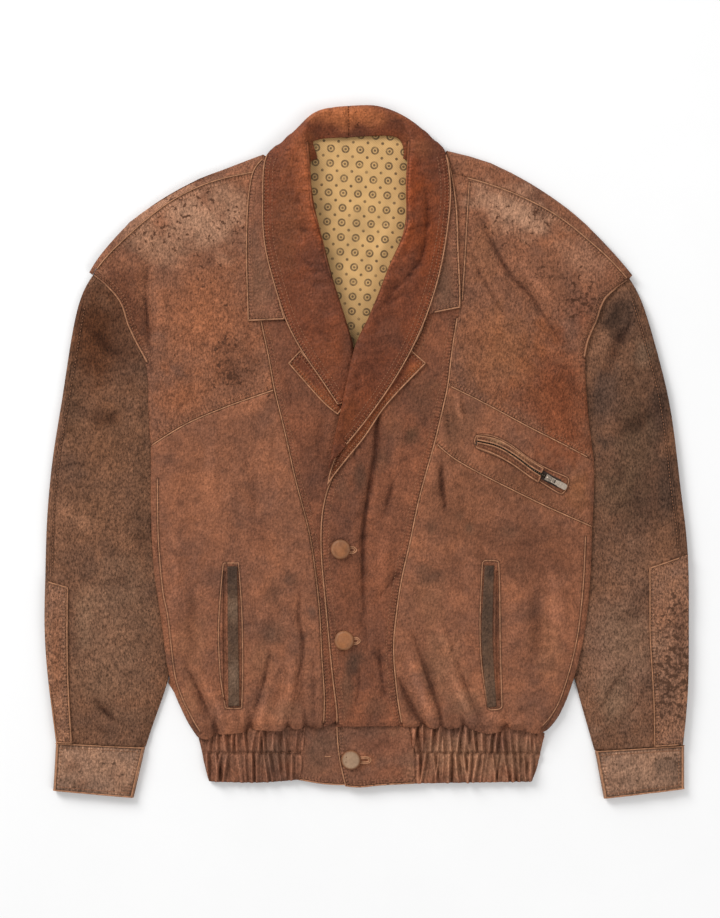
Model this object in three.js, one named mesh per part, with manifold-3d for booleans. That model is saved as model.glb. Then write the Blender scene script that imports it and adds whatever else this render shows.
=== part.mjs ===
// A worn leather blouson laid flat on its back, front side up.
// Millimetres: +X is the wearer's left, +Y points to the collar, +Z up off the table at Z = 0.

import * as THREE from 'three';
import { mergeVertices } from 'three/addons/utils/BufferGeometryUtils.js';
import Module from 'manifold-3d';

const wasm = await Module();
wasm.setup();

// Leather, cloth and clearances
const LEATHER = 1.6;
const COLLAR_LEATHER = 2.0;
const LINING = 1.0;
const TAPE = 0.8;
const SEAM = 0.3;
const LAY = 0.4;

// Heights of the outer faces above the table
const FRONT_TOP = 13;
const SLEEVE_TOP = 11;
const SLEEVE_TUCK = 6;
const CUFF_TOP = 9;
const EDGE_ON_BACK = LEATHER + LAY + LEATHER;
const EDGE_ON_SLEEVE = SLEEVE_TUCK + LAY + LEATHER;
const OVERLAP_DROP = LEATHER + LAY;
const HEM_DROP = 2;
const TAB_RIGHT_TOP = 7;
const TAB_LEFT_TOP = TAB_RIGHT_TOP + LAY + LEATHER;
const ELASTIC_TOP = 7.2;
const RIB_RISE = 1.5;

// How far in from an edge the cloth rounds up to its full height
const EDGE_ROUND = 14;
const HEM_ROUND = 9;
const SLEEVE_ROUND = 18;
const SLEEVE_RISE = 35;
const BAND_ROUND = 12;
const OVERLAP_SLOPE = 10;
const OVERLAP_STEEP_Y = -120;

// The sleeves lie under the body's sides between these two levels
const SLEEVE_FROM_Y = 229;
const SLEEVE_TO_Y = -250;
const SLEEVE_FADE = 24;

// Waistband ribs
const RIBS_RIGHT = 11;
const RIBS_LEFT = 16;

// Buttons
const BUTTON_RADIUS = 11;
const BUTTON_RISE = 5.5;

// Chest zip: slider body, bridge over it, and the pull tab that hangs on the bridge
const SLIDER = { length: 11, width: 7, height: 2.6 };
const BRIDGE = { length: 8.8, width: 1.8, height: 2.9, bar: 1.0 };
const PULL = { length: 19, width: 7, neck: 5.6, thick: 1.2, bar: 1.2, windowLength: 3.6, windowWidth: 3.2 };
const PULL_DROOP = THREE.MathUtils.degToRad(8);
const PULL_PIVOT = { x: 2.2, z: 0.95 };

// Outlines of the wearer's right half, all from the top down
const RIGHT = {
  shoulderFold: [[-116, 334], [-135, 327], [-189, 304], [-231, 282], [-264, 260], [-285, 237],
    [-302, 216], [-311, 201]],
  shoulderSeam: [[-108, 317], [-126, 314], [-178, 302], [-222, 280], [-256, 253], [-279, 232],
    [-297, 213], [-307, 198]],
  armhole: [[-307, 198], [-286, 182], [-275, 165], [-268, 142], [-258, 121], [-246, 99], [-245, 50],
    [-242, 5]],
  side: [[-242, 5], [-242, -44], [-241, -97], [-236, -155], [-230, -186], [-223, -246], [-214, -276],
    [-201, -302], [-190, -319]],
  chestSeam: [[-242, 5], [-222, 18], [-200, 31], [-155, 50], [-104, 68]],
  princessHidden: [[-108, 317], [-116, 248], [-122, 170]],
  princessUpper: [[-122, 170], [-119, 145], [-111, 111], [-104, 68]],
  princessLower: [[-104, 68], [-93, 27], [-84, -16], [-76, -51], [-66, -80], [-60, -122], [-55, -158],
    [-52, -200], [-51, -231], [-48, -272], [-49, -308]],
  hem: [[-190, -319], [-173, -321], [-162, -313], [-142, -315], [-128, -309], [-102, -311],
    [-74, -309], [-49, -308]],
  underlap: [[-74, 134], [-46, 86], [-24, 24], [-18, -76], [-16, -211], [-10, -300]],
  underlapHem: [[-49, -308], [-40, -306], [-34, -301], [-10, -300]],
  sleeveOuter: [[-297, 211], [-312, 196], [-323, 169], [-332, 125], [-342, 58], [-353, -9],
    [-359, -76], [-361, -144], [-362, -200], [-358, -256], [-352, -303], [-349, -326]],
  sleeveInner: [[-231, 117], [-227, 58], [-225, 2], [-222, -54], [-220, -121], [-217, -188],
    [-217, -228], [-225, -265], [-238, -300], [-248, -331]],
  cuff: [[-349, -326.6], [-248, -331.6], [-261, -388], [-352, -380]],
};

// Outlines of the wearer's left half
const LEFT = {
  shoulderFold: [[90, 338], [133, 327], [180, 304], [214, 282], [242, 260], [264, 237], [284, 215],
    [298, 198]],
  shoulderSeam: [[91, 313], [139, 300], [181, 283], [219, 262], [247, 239], [272, 217], [294, 193]],
  armhole: [[294, 193], [272, 178], [265, 167], [258, 146], [249, 125], [245, 107], [245, 86],
    [250, 29], [255, -11]],
  sideBand: [[255, -11], [255, -48], [253, -85]],
  side: [[253, -85], [252, -121], [250, -155], [245, -200], [237, -238], [225, -278], [214, -299],
    [203, -309]],
  chestSeam: [[92, 73], [117, 61], [146, 46], [181, 27], [217, 9], [255, -11]],
  bandSeam: [[77, 9], [89, -3], [117, -20], [160, -42], [203, -63], [253, -85]],
  princessHidden: [[91, 313], [100, 237], [105, 165]],
  princessUpper: [[105, 165], [97, 116], [92, 73]],
  princessBand: [[92, 73], [83, 34], [77, 9]],
  princessLower: [[77, 9], [69, -19], [58, -59], [49, -106], [40, -141], [35, -177], [31, -211],
    [31, -228], [33, -250], [36, -278], [41, -307]],
  hem: [[41, -307], [60, -306], [82, -310], [107, -306], [127, -311], [144, -314], [161, -309],
    [183, -311], [203, -309]],
  frontEdge: [[66, 161], [62, 136], [32, 92], [-7, 30], [-35, -18], [-49, -55], [-52, -108], [-47, -166],
    [-41, -231], [-38, -260], [-34, -291], [-34, -308]],
  sleeveOuter: [[285, 208], [300, 191], [310, 168], [323, 125], [340, 58], [348, 2], [353, -43],
    [359, -88], [362, -132], [362, -188], [362, -256], [359, -300], [356, -328]],
  sleeveInner: [[236, 122], [231, 69], [234, 2], [235, -54], [232, -121], [228, -188], [228, -228],
    [235, -261], [246, -300], [256, -335]],
  cuff: [[256, -335.6], [357, -329.2], [357, -378], [266, -389]],
};

// Folds of the fronts: a line of points, the half width, and the rise (a trough is negative).
// A gather is highest at the hem, its first point, and dies out up the panel.
const FOLDS = [
  { line: [[-176, -320], [-186, -270]], width: 9, rise: 4, gather: true },
  { line: [[-118, -312], [-112, -262]], width: 10, rise: 4, gather: true },
  { line: [[-92, -312], [-80, -240], [-72, -178]], width: 9, rise: 4, gather: true },
  { line: [[-62, -310], [-62, -262]], width: 7, rise: 3, gather: true },
  { line: [[50, -308], [46, -262]], width: 7, rise: 3, gather: true },
  { line: [[72, -310], [62, -255]], width: 8, rise: 4, gather: true },
  { line: [[98, -309], [84, -250]], width: 9, rise: 4, gather: true },
  { line: [[117, -310], [110, -270]], width: 8, rise: 3, gather: true },
  { line: [[165, -311], [168, -262]], width: 9, rise: 4, gather: true },
  { line: [[186, -312], [196, -265]], width: 9, rise: 4, gather: true },
  { line: [[8, 2], [4, -35], [-3, -87], [-4, -130], [-3, -173], [0, -199]], width: 8, rise: -2 },
  { line: [[-240, 205], [-244, 160], [-243, 110]], width: 10, rise: -2.5 },
  { line: [[150, 225], [185, 173], [210, 132], [236, 97]], width: 10, rise: -2.5 },
];

// Curves and small maths

const smooth = (t) => THREE.MathUtils.smoothstep(t, 0, 1);

// Quarter-circle profile: 0 at the edge, 1 at `radius` in from it
function roundOver(distance, radius) {
  const t = THREE.MathUtils.clamp(distance / radius, 0, 1);
  return Math.sqrt(1 - (1 - t) ** 2);
}

function even(count) {
  return Array.from({ length: count + 1 }, (_, i) => i / count);
}

// Points on a spline through an outline, at fractions of its length
function along(outline, stops) {
  const points = outline.map(([x, y]) => new THREE.Vector3(x, y, 0));
  const curve = new THREE.CatmullRomCurve3(points, false, 'centripetal');
  return stops.map((t) => curve.getPointAt(t));
}

// Nearest place on a polyline: its distance, and how far along it lies from 0 to 1
function nearest(line, x, y) {
  let best = { distance: Infinity, t: 0 };
  for (let i = 0; i < line.length - 1; i++) {
    const a = line[i];
    const b = line[i + 1];
    const dx = b.x - a.x;
    const dy = b.y - a.y;
    const s = THREE.MathUtils.clamp(((x - a.x) * dx + (y - a.y) * dy) / (dx * dx + dy * dy), 0, 1);
    const distance = Math.hypot(x - a.x - s * dx, y - a.y - s * dy);
    if (distance < best.distance) {
      best = { distance, t: (i + s) / (line.length - 1) };
    }
  }
  return best;
}

// X of a falling outline at a level
function xAt(line, y) {
  for (let i = 0; i < line.length - 1; i++) {
    const a = line[i];
    const b = line[i + 1];
    if (y <= a.y && y >= b.y && a.y > b.y) {
      return THREE.MathUtils.mapLinear(y, a.y, b.y, a.x, b.x);
    }
  }
  return y > line[0].y ? line[0].x : line[line.length - 1].x;
}

const LINES = {
  right: {
    edge: along([...RIGHT.armhole, ...RIGHT.side.slice(1)], even(60)),
    shoulder: along(RIGHT.shoulderFold, even(30)),
    hem: along(RIGHT.hem, even(40)),
  },
  left: {
    edge: along([...LEFT.armhole, ...LEFT.sideBand.slice(1), ...LEFT.side.slice(1)], even(60)),
    shoulder: along(LEFT.shoulderFold, even(30)),
    hem: along(LEFT.hem, even(40)),
  },
  frontEdge: along(LEFT.frontEdge, even(60)),
};
const FOLD_LINES = FOLDS.map((fold) => ({ ...fold, line: along(fold.line, even(16)) }));

// Height fields of the layers

function foldRelief(x, y) {
  let relief = 0;
  for (const fold of FOLD_LINES) {
    const near = nearest(fold.line, x, y);
    const strength = fold.gather ? 1 - near.t : 1;
    relief += fold.rise * strength * Math.exp(-((near.distance / fold.width) ** 2));
  }
  return relief;
}

// The front's edges rest on the sleeves down to the elbow and on the back elsewhere
function restHeight(y) {
  const below = smooth((SLEEVE_FROM_Y + SLEEVE_FADE - y) / SLEEVE_FADE);
  const above = smooth((y - SLEEVE_TO_Y + SLEEVE_FADE) / SLEEVE_FADE);
  return THREE.MathUtils.lerp(EDGE_ON_BACK, EDGE_ON_SLEEVE, below * above);
}

function frontHeight(x, y) {
  const lines = x < -20 ? LINES.right : LINES.left;
  const rest = restHeight(y);
  const edge = nearest(lines.edge, x, y).distance;
  const shoulder = nearest(lines.shoulder, x, y).distance;
  const hem = nearest(lines.hem, x, y).distance;
  const top = FRONT_TOP + foldRelief(x, y) - HEM_DROP * (1 - roundOver(hem, HEM_ROUND));
  return rest + (top - rest) * roundOver(Math.min(edge, shoulder), EDGE_ROUND);
}

// The right centre front dips to lie under the left front's edge
function underlapHeight(x, y) {
  const lead = THREE.MathUtils.lerp(3, 22, smooth((y - OVERLAP_STEEP_Y) / 40));
  const past = x - xAt(LINES.frontEdge, y) + lead + OVERLAP_SLOPE;
  return frontHeight(x, y) - OVERLAP_DROP * smooth(past / OVERLAP_SLOPE);
}

// Solids

// A closed wall between an outer and an inner grid of points
function wall(outer, inner, ring = false) {
  const rows = outer.length;
  const cols = outer[0].length;
  const lastCol = ring ? cols : cols - 1;
  const index = [];
  const at = (layer, i, j) => (layer * rows + i) * cols + (j % cols);
  const quad = (a, b, c, d) => index.push(a, b, c, a, c, d);
  for (let i = 0; i < rows - 1; i++) {
    for (let j = 0; j < lastCol; j++) {
      quad(at(0, i, j), at(0, i + 1, j), at(0, i + 1, j + 1), at(0, i, j + 1));
      quad(at(1, i, j), at(1, i, j + 1), at(1, i + 1, j + 1), at(1, i + 1, j));
    }
  }
  for (let j = 0; j < lastCol; j++) {
    const end = rows - 1;
    quad(at(0, 0, j), at(0, 0, j + 1), at(1, 0, j + 1), at(1, 0, j));
    quad(at(0, end, j + 1), at(0, end, j), at(1, end, j), at(1, end, j + 1));
  }
  for (let i = 0; i < rows - 1 && !ring; i++) {
    const end = cols - 1;
    quad(at(0, i + 1, 0), at(0, i, 0), at(1, i, 0), at(1, i + 1, 0));
    quad(at(0, i, end), at(0, i + 1, end), at(1, i + 1, end), at(1, i, end));
  }
  const points = [...outer.flat(), ...inner.flat()];
  let volume = 0;
  for (let k = 0; k < index.length; k += 3) {
    const [a, b, c] = [points[index[k]], points[index[k + 1]], points[index[k + 2]]];
    volume += a.dot(b.clone().cross(c));
  }
  const geometry = new THREE.BufferGeometry();
  geometry.setAttribute('position', new THREE.Float32BufferAttribute(points.flatMap((p) => p.toArray()), 3));
  geometry.setIndex(volume > 0 ? index : index.reverse());
  return geometry;
}

// A grid filled in between four edges (a Coons patch); left and right run down, top and bottom run across
function patch(left, right, top, bottom) {
  const rows = left.length;
  const cols = top.length;
  const grid = [];
  for (let i = 0; i < rows; i++) {
    const v = i / (rows - 1);
    const row = [];
    for (let j = 0; j < cols; j++) {
      const u = j / (cols - 1);
      const sides = left[i].clone().lerp(right[i], u);
      const ends = top[j].clone().lerp(bottom[j], v);
      const upper = left[0].clone().lerp(right[0], u);
      const lower = left[rows - 1].clone().lerp(right[rows - 1], u);
      row.push(sides.add(ends).sub(upper.lerp(lower, v)));
    }
    grid.push(row);
  }
  return grid;
}

// The grid with its rim drawn in by half a seam gap
function drawnIn(grid) {
  const rows = grid.length;
  const cols = grid[0].length;
  const shift = (from, to) => to.clone().sub(from).setLength(SEAM / 2);
  return grid.map((row, i) => row.map((point, j) => {
    const moved = point.clone();
    if (j === 0) moved.add(shift(point, row[1]));
    if (j === cols - 1) moved.add(shift(point, row[cols - 2]));
    if (i === 0) moved.add(shift(point, grid[1][j]));
    if (i === rows - 1) moved.add(shift(point, grid[rows - 2][j]));
    return moved;
  }));
}

// A panel of cloth over a flat grid, its outer face at a given height
function panel(grid, height, thick) {
  const inset = drawnIn(grid);
  const outer = inset.map((row) => row.map((p) => new THREE.Vector3(p.x, p.y, height(p.x, p.y))));
  const inner = outer.map((row) => row.map((p) => p.clone().setZ(p.z - thick)));
  return wall(outer, inner);
}

// A strip of cloth between two outlines
function strip(first, second, rows, cols, height, thick) {
  const left = along(first, even(rows));
  const right = along(second, even(rows));
  const across = (a, b) => even(cols).map((t) => a.clone().lerp(b, t));
  return panel(patch(left, right, across(left[0], right[0]), across(left[rows], right[rows])), height, thick);
}

// A flat plate lying on the table
function plate(outline, thick) {
  const shape = new THREE.Shape(outline.map((p) => new THREE.Vector2(p.x, p.y)));
  return new THREE.ExtrudeGeometry(shape, { depth: thick, bevelEnabled: false });
}

// Outward normals of a grid of points, each from its four neighbours
function gridNormals(grid, ring = false) {
  const rows = grid.length;
  const cols = grid[0].length;
  return grid.map((row, i) => row.map((_, j) => {
    const before = ring ? row[(j + cols - 1) % cols] : row[Math.max(j - 1, 0)];
    const after = ring ? row[(j + 1) % cols] : row[Math.min(j + 1, cols - 1)];
    const above = grid[Math.max(i - 1, 0)][j];
    const below = grid[Math.min(i + 1, rows - 1)][j];
    const across = after.clone().sub(before);
    const down = below.clone().sub(above);
    return down.cross(across).normalize();
  }));
}

function offsetIn(grid, normals, thick) {
  return grid.map((row, i) => row.map((p, j) => p.clone().addScaledVector(normals[i][j], -thick)));
}

function toManifold(geometry) {
  const bare = geometry.clone();
  bare.deleteAttribute('normal');
  bare.deleteAttribute('uv');
  const merged = mergeVertices(bare, 1e-4);
  const vertProperties = Float32Array.from(merged.attributes.position.array);
  const triVerts = Uint32Array.from(merged.index.array);
  return new wasm.Manifold(new wasm.Mesh({ numProp: 3, vertProperties, triVerts }));
}

function toGeometry(manifold) {
  const mesh = manifold.getMesh();
  const geometry = new THREE.BufferGeometry();
  geometry.setAttribute('position', new THREE.Float32BufferAttribute(mesh.vertProperties, 3));
  geometry.setIndex(Array.from(mesh.triVerts));
  return geometry;
}

const join = (a, b) => toGeometry(toManifold(a).add(toManifold(b)));
const cut = (a, b) => toGeometry(toManifold(a).subtract(toManifold(b)));

// The model

const jacket = new THREE.Group();

function add(name, geometry, color, roughness = 0.6, metalness = 0) {
  const material = new THREE.MeshStandardMaterial({ color, roughness, metalness });
  const mesh = new THREE.Mesh(geometry, material);
  mesh.name = name;
  jacket.add(mesh);
  return mesh;
}

const CHEST_BROWN = 0x90604a;
const FRONT_BROWN = 0x84553e;
const CENTRE_BROWN = 0x7a4b36;
const SLEEVE_BROWN = 0x6e4c3a;
const CUFF_BROWN = 0x8b6956;
const COLLAR_BROWN = 0x784833;
const BAND_BROWN = 0x734e3d;
const WELT_BROWN = 0x5a4438;
const LINING_GOLD = 0xc59f70;
const BUTTON_TAN = 0x9a633f;
const BRASS = 0x8c7a5a;

// Fronts. Columns crowd to the side edge, where the cloth rounds over, and rows to the hem.
const FROM_SIDE = [0, 0.02, 0.05, 0.1, 0.18, 0.28, 0.38, 0.48, 0.58, 0.68, 0.78, 0.89, 1];
const TO_SIDE = FROM_SIDE.map((t) => 1 - t).reverse();
const TO_HEM = [0, 0.08, 0.17, 0.26, 0.35, 0.44, 0.53, 0.62, 0.7, 0.77, 0.83, 0.88, 0.925, 0.96, 0.985, 1];
const UPPER_STEPS = even(4);
const HIDDEN_STEPS = even(6);
const BAND_STEPS = even(5);
const SHOULDER_ROUND = [0, 0.12, 0.35, 1];

// Fractions of one edge that is made of two runs of points
function twoRuns(first, second) {
  return [...first, ...second.slice(1)];
}

const rightPrincessHidden = along(RIGHT.princessHidden, HIDDEN_STEPS);
const rightPrincessUpper = along(RIGHT.princessUpper, UPPER_STEPS);
const rightPrincessLower = along(RIGHT.princessLower, TO_HEM);
const rightShoulder = along(RIGHT.shoulderSeam, TO_SIDE).reverse();
const rightChestSeam = along(RIGHT.chestSeam, FROM_SIDE);

const rightChestGrid = patch(
  along(RIGHT.armhole, even(10)),
  twoRuns(rightPrincessHidden, rightPrincessUpper),
  rightShoulder,
  rightChestSeam,
);
add('right_chest', panel(rightChestGrid, frontHeight, LEATHER), CHEST_BROWN);

const rightYokeGrid = patch(
  SHOULDER_ROUND.map((t) => new THREE.Vector3(-311, 201, 0).lerp(rightShoulder[0], t)),
  SHOULDER_ROUND.map((t) => new THREE.Vector3(-116, 334, 0).lerp(rightShoulder[12], t)),
  along(RIGHT.shoulderFold, TO_SIDE).reverse(),
  rightShoulder,
);
add('right_yoke', panel(rightYokeGrid, frontHeight, LEATHER), CHEST_BROWN);

const rightSideGrid = patch(
  along(RIGHT.side, TO_HEM),
  rightPrincessLower,
  rightChestSeam,
  along(RIGHT.hem, FROM_SIDE),
);
const rightSlit = new THREE.Shape([
  new THREE.Vector2(-160.4, -134),
  new THREE.Vector2(-157.2, -134),
  new THREE.Vector2(-156.4, -278),
  new THREE.Vector2(-159.8, -278),
  new THREE.Vector2(-161.2, -211),
]);
const slitDepth = { depth: 2 * FRONT_TOP, bevelEnabled: false };
const rightSide = panel(rightSideGrid, frontHeight, LEATHER);
add('right_side_front', cut(rightSide, new THREE.ExtrudeGeometry(rightSlit, slitDepth)), FRONT_BROWN);

const rightCentreSteps = [
  ...UPPER_STEPS.map((t) => t * 0.22),
  ...TO_HEM.slice(1).map((t) => 0.22 + 0.78 * t),
];
const rightUnderlap = along(RIGHT.underlap, rightCentreSteps);
const rightCentreGrid = patch(
  twoRuns(rightPrincessUpper, rightPrincessLower),
  rightUnderlap,
  even(6).map((t) => rightPrincessUpper[0].clone().lerp(rightUnderlap[0], t)),
  along(RIGHT.underlapHem, even(6)),
);
add('right_centre_front', panel(rightCentreGrid, underlapHeight, LEATHER), CENTRE_BROWN);

const leftPrincessHidden = along(LEFT.princessHidden, HIDDEN_STEPS);
const leftPrincessUpper = along(LEFT.princessUpper, UPPER_STEPS);
const leftPrincessBand = along(LEFT.princessBand, BAND_STEPS);
const leftPrincessLower = along(LEFT.princessLower, TO_HEM);
const leftShoulder = along(LEFT.shoulderSeam, TO_SIDE);
const leftChestSeam = along(LEFT.chestSeam, TO_SIDE);
const leftBandSeam = along(LEFT.bandSeam, TO_SIDE);

const leftChestGrid = patch(
  twoRuns(leftPrincessHidden, leftPrincessUpper),
  along(LEFT.armhole, even(10)),
  leftShoulder,
  leftChestSeam,
);
add('left_chest', panel(leftChestGrid, frontHeight, LEATHER), CHEST_BROWN);

const leftYokeGrid = patch(
  SHOULDER_ROUND.map((t) => new THREE.Vector3(90, 338, 0).lerp(leftShoulder[0], t)),
  SHOULDER_ROUND.map((t) => new THREE.Vector3(298, 198, 0).lerp(leftShoulder[12], t)),
  along(LEFT.shoulderFold, TO_SIDE),
  leftShoulder,
);
add('left_yoke', panel(leftYokeGrid, frontHeight, LEATHER), CHEST_BROWN);

const leftBandGrid = patch(leftPrincessBand, along(LEFT.sideBand, BAND_STEPS), leftChestSeam, leftBandSeam);
add('left_pocket_band', panel(leftBandGrid, frontHeight, LEATHER), FRONT_BROWN);

const leftSideGrid = patch(
  leftPrincessLower,
  along(LEFT.side, TO_HEM),
  leftBandSeam,
  along(LEFT.hem, TO_SIDE),
);
const leftSlit = new THREE.Shape([
  new THREE.Vector2(144.6, -134),
  new THREE.Vector2(147.6, -134),
  new THREE.Vector2(147.2, -211),
  new THREE.Vector2(149.4, -278),
  new THREE.Vector2(146.4, -278),
  new THREE.Vector2(143.6, -211),
]);
const leftSide = panel(leftSideGrid, frontHeight, LEATHER);
add('left_side_front', cut(leftSide, new THREE.ExtrudeGeometry(leftSlit, slitDepth)), FRONT_BROWN);

const leftCentreSteps = [
  ...UPPER_STEPS.map((t) => t * 0.2),
  ...BAND_STEPS.slice(1).map((t) => 0.2 + 0.16 * t),
  ...TO_HEM.slice(1).map((t) => 0.36 + 0.64 * t),
];
const leftFrontEdge = along(LEFT.frontEdge, leftCentreSteps);
const leftCentreGrid = patch(
  leftFrontEdge,
  twoRuns(twoRuns(leftPrincessUpper, leftPrincessBand), leftPrincessLower),
  even(8).map((t) => leftFrontEdge[0].clone().lerp(leftPrincessUpper[0], t)),
  even(8).map((t) => leftFrontEdge[24].clone().lerp(leftPrincessLower[15], t)),
);
add('left_centre_front', panel(leftCentreGrid, frontHeight, LEATHER), CENTRE_BROWN);

// Back: one flat piece on the table, cut round the sleeves that lie beside it
const CAP_CLEAR = new THREE.Vector3(0.5, 0.35, 0);
const rightTuck = along(RIGHT.sleeveInner, even(24)).filter((p) => p.y > -262);
const leftTuck = along(LEFT.sleeveInner, even(24)).filter((p) => p.y > -258);
const backOutline = [
  ...along(RIGHT.side, even(24)).filter((p) => p.y < -264).reverse(),
  ...rightTuck.map((p) => p.clone().add(new THREE.Vector3(0.6, 0, 0))).reverse(),
  new THREE.Vector3(-297, 211, 0).add(CAP_CLEAR),
  ...along(RIGHT.shoulderFold, even(10)).reverse().slice(1),
  ...along([[-100, 324], [-84, 326], [-68, 340], [-54, 348], [-20, 349.5], [36, 352.5], [50, 344],
    [64, 328], [80, 326]],
    even(14)),
  ...along(LEFT.shoulderFold, even(10)).slice(0, -1),
  new THREE.Vector3(285, 208, 0).add(new THREE.Vector3(-0.5, 0.35, 0)),
  ...leftTuck.map((p) => p.clone().add(new THREE.Vector3(-0.6, 0, 0))),
  ...along(LEFT.side, even(24)).filter((p) => p.y < -262),
];
add('back_panel', plate(backOutline, LEATHER), CHEST_BROWN);

const liningTop = LEATHER + LAY + LINING;
const LINING_RIGHT = [[-74, 348], [-70, 323], [-68, 293], [-63, 265], [-53, 226], [-43, 188],
  [-31, 150], [-22, 112]];
const LINING_LEFT = [[48, 351], [53, 323], [51, 302], [52, 268], [48, 242], [34, 212], [21, 179],
  [8, 145], [-4, 112]];
function liningHeight(x, y) {
  return liningTop + 0.4 * Math.sin(x / 9 + y / 40) * Math.sin(y / 17);
}
add('back_neck_lining', strip(LINING_RIGHT, LINING_LEFT, 10, 5, liningHeight, LINING), LINING_GOLD, 0.8);

// Sleeves: the upper sleeve lies on the under sleeve, which turns up over the outer fold to the elbow seam
const SLEEVE_ROWS = even(18);
const CROSS_RIGHT = [0.09, 0.19, 0.3, 0.42, 0.54, 0.66, 0.77, 0.86, 0.93, 1];
const CROSS_LEFT = [0.1, 0.18, 0.26, 0.34, 0.46, 0.58, 0.69, 0.79, 0.88, 1];

function sleeve(outlines, lines, sideSign, elbowInset, cross) {
  const outer = along(outlines.sleeveOuter, SLEEVE_ROWS);
  const inner = along(outlines.sleeveInner, SLEEVE_ROWS);
  const bodyEdge = lines.edge;
  const upper = [];
  const under = [];
  for (let i = 0; i < outer.length; i++) {
    const axis = inner[i].clone().sub(outer[i]);
    const width = axis.length();
    axis.normalize();
    const point = (d, z) => outer[i].clone().addScaledVector(axis, d).setZ(z);
    const height = (d) => {
      const p = point(d, 0);
      const outside = p.y < bodyEdge[0].y && sideSign * (p.x - xAt(bodyEdge, p.y)) > 0;
      const away = outside ? nearest(bodyEdge, p.x, p.y).distance : 0;
      const crown = THREE.MathUtils.lerp(SLEEVE_TOP, CUFF_TOP + 0.6, smooth((SLEEVE_ROWS[i] - 0.85) / 0.15));
      const base = THREE.MathUtils.lerp(SLEEVE_TUCK, crown, smooth(away / SLEEVE_RISE));
      const round = roundOver(d + 4, SLEEVE_ROUND) * roundOver(width - d, BAND_ROUND);
      return EDGE_ON_BACK + (base - EDGE_ON_BACK) * round;
    };
    const seamZ = height(elbowInset);
    upper.push([elbowInset + SEAM / 2, ...cross.map((t) => t * width)].map((d) => point(d, height(d))));
    under.push([
      point(elbowInset - SEAM / 2, seamZ),
      point(1.5, 0.8 * seamZ),
      point(0, 0.45 * seamZ),
      point(1, 0.17 * seamZ),
      point(5, 0),
      point(0.35 * width, 0),
      point(0.68 * width, 0),
      point(width - SEAM, 0),
    ]);
  }
  const normals = gridNormals(under);
  const facing = normals[9][0].z > 0 ? 1 : -1;
  const underInner = under.map((row, i) => row.map((p, j) => {
    if (j === 0) return p.clone().setZ(p.z - LEATHER);
    if (j >= 5) return p.clone().setZ(LEATHER);
    return p.clone().addScaledVector(normals[i][j], -facing * LEATHER);
  }));
  const upperInner = upper.map((row) => row.map((p) => p.clone().setZ(p.z - LEATHER)));
  return { upper, under, upperWall: wall(upper, upperInner), underWall: wall(under, underInner) };
}

// The forearm patch lies on the outer columns of the sleeve, from one row down to the cuff
function forearmPatch(parts, fromRow, columns) {
  const lift = LAY + LEATHER;
  const rows = [];
  for (let i = fromRow; i < parts.upper.length; i++) {
    const fold = parts.under[i][1].clone();
    const row = [fold, ...parts.upper[i].slice(0, columns)].map((p) => p.clone().setZ(p.z + lift));
    rows.push(row);
  }
  return wall(rows, rows.map((row) => row.map((p) => p.clone().setZ(p.z - LEATHER))));
}

const rightSleeve = sleeve(RIGHT, LINES.right, -1, 6, CROSS_RIGHT);
add('right_upper_sleeve', rightSleeve.upperWall, SLEEVE_BROWN);
add('right_under_sleeve', rightSleeve.underWall, SLEEVE_BROWN);
add('right_forearm_patch', forearmPatch(rightSleeve, 12, 3), 0x8a624d);

const leftSleeve = sleeve(LEFT, LINES.left, 1, 9, CROSS_LEFT);
add('left_upper_sleeve', leftSleeve.upperWall, SLEEVE_BROWN);
add('left_under_sleeve', leftSleeve.underWall, SLEEVE_BROWN);
add('left_forearm_patch', forearmPatch(leftSleeve, 11, 5), 0x745140);

// Cuffs: flattened tubes
const CUFF_SECTION = [
  [0.0, 0.5], [0.012, 0.83], [0.05, 1], [0.2, 1.02], [0.4, 1.03], [0.6, 1.03], [0.8, 1.02], [0.95, 1],
    [0.988, 0.83],
  [1, 0.5], [0.988, 0.16], [0.95, 0], [0.65, 0], [0.35, 0], [0.05, 0], [0.012, 0.16],
];
function cuff(corners) {
  const [topLeft, topRight, bottomRight, bottomLeft] = corners.map(([x, y]) => new THREE.Vector3(x, y, 0));
  const rings = even(4).map((v) => {
    const start = topLeft.clone().lerp(bottomLeft, v);
    const end = topRight.clone().lerp(bottomRight, v);
    return CUFF_SECTION.map(([u, z]) => start.clone().lerp(end, u).setZ(z * CUFF_TOP));
  });
  return wall(rings, offsetIn(rings, gridNormals(rings, true), LEATHER), true);
}
add('right_cuff', cuff(RIGHT.cuff), CUFF_BROWN);
add('left_cuff', cuff(LEFT.cuff), CUFF_BROWN);

// Waistband: back on the table, then the ribbed elastics and the two plain tabs that lap at the front
const ELASTIC_RIGHT = {
  left: [[-186, -323], [-184, -340], [-182, -354], [-177, -370]],
  right: [[-71, -300], [-73, -336], [-77, -368]],
  top: [[-186, -323], [-176, -318], [-160, -309], [-120, -303], [-71, -300]],
  bottom: [[-177, -370], [-120, -371], [-77, -368]],
};
const ELASTIC_LEFT = {
  left: [[48, -300], [55, -336], [55, -372]],
  right: [[200, -316], [195, -334], [193, -356], [186, -370]],
  top: [[48, -300], [100, -301], [170, -303], [190, -309], [200, -316]],
  bottom: [[55, -372], [120, -371], [186, -370]],
};
const TAB_RIGHT = {
  left: ELASTIC_RIGHT.right,
  right: [[-7, -300], [-5, -373]],
  top: [[-71, -300], [-7, -300]],
  bottom: [[-77, -368], [-40, -374], [-5, -373]],
};
const TAB_LEFT = {
  left: [[-34, -305.5], [-33, -330], [-29, -355], [-24, -375]],
  right: [[46, -303], [54.2, -336], [54.4, -372]],
  top: [[-34, -305.5], [46, -303]],
  bottom: [[-24, -375], [-8, -377], [4, -375], [54.4, -372]],
};

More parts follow.
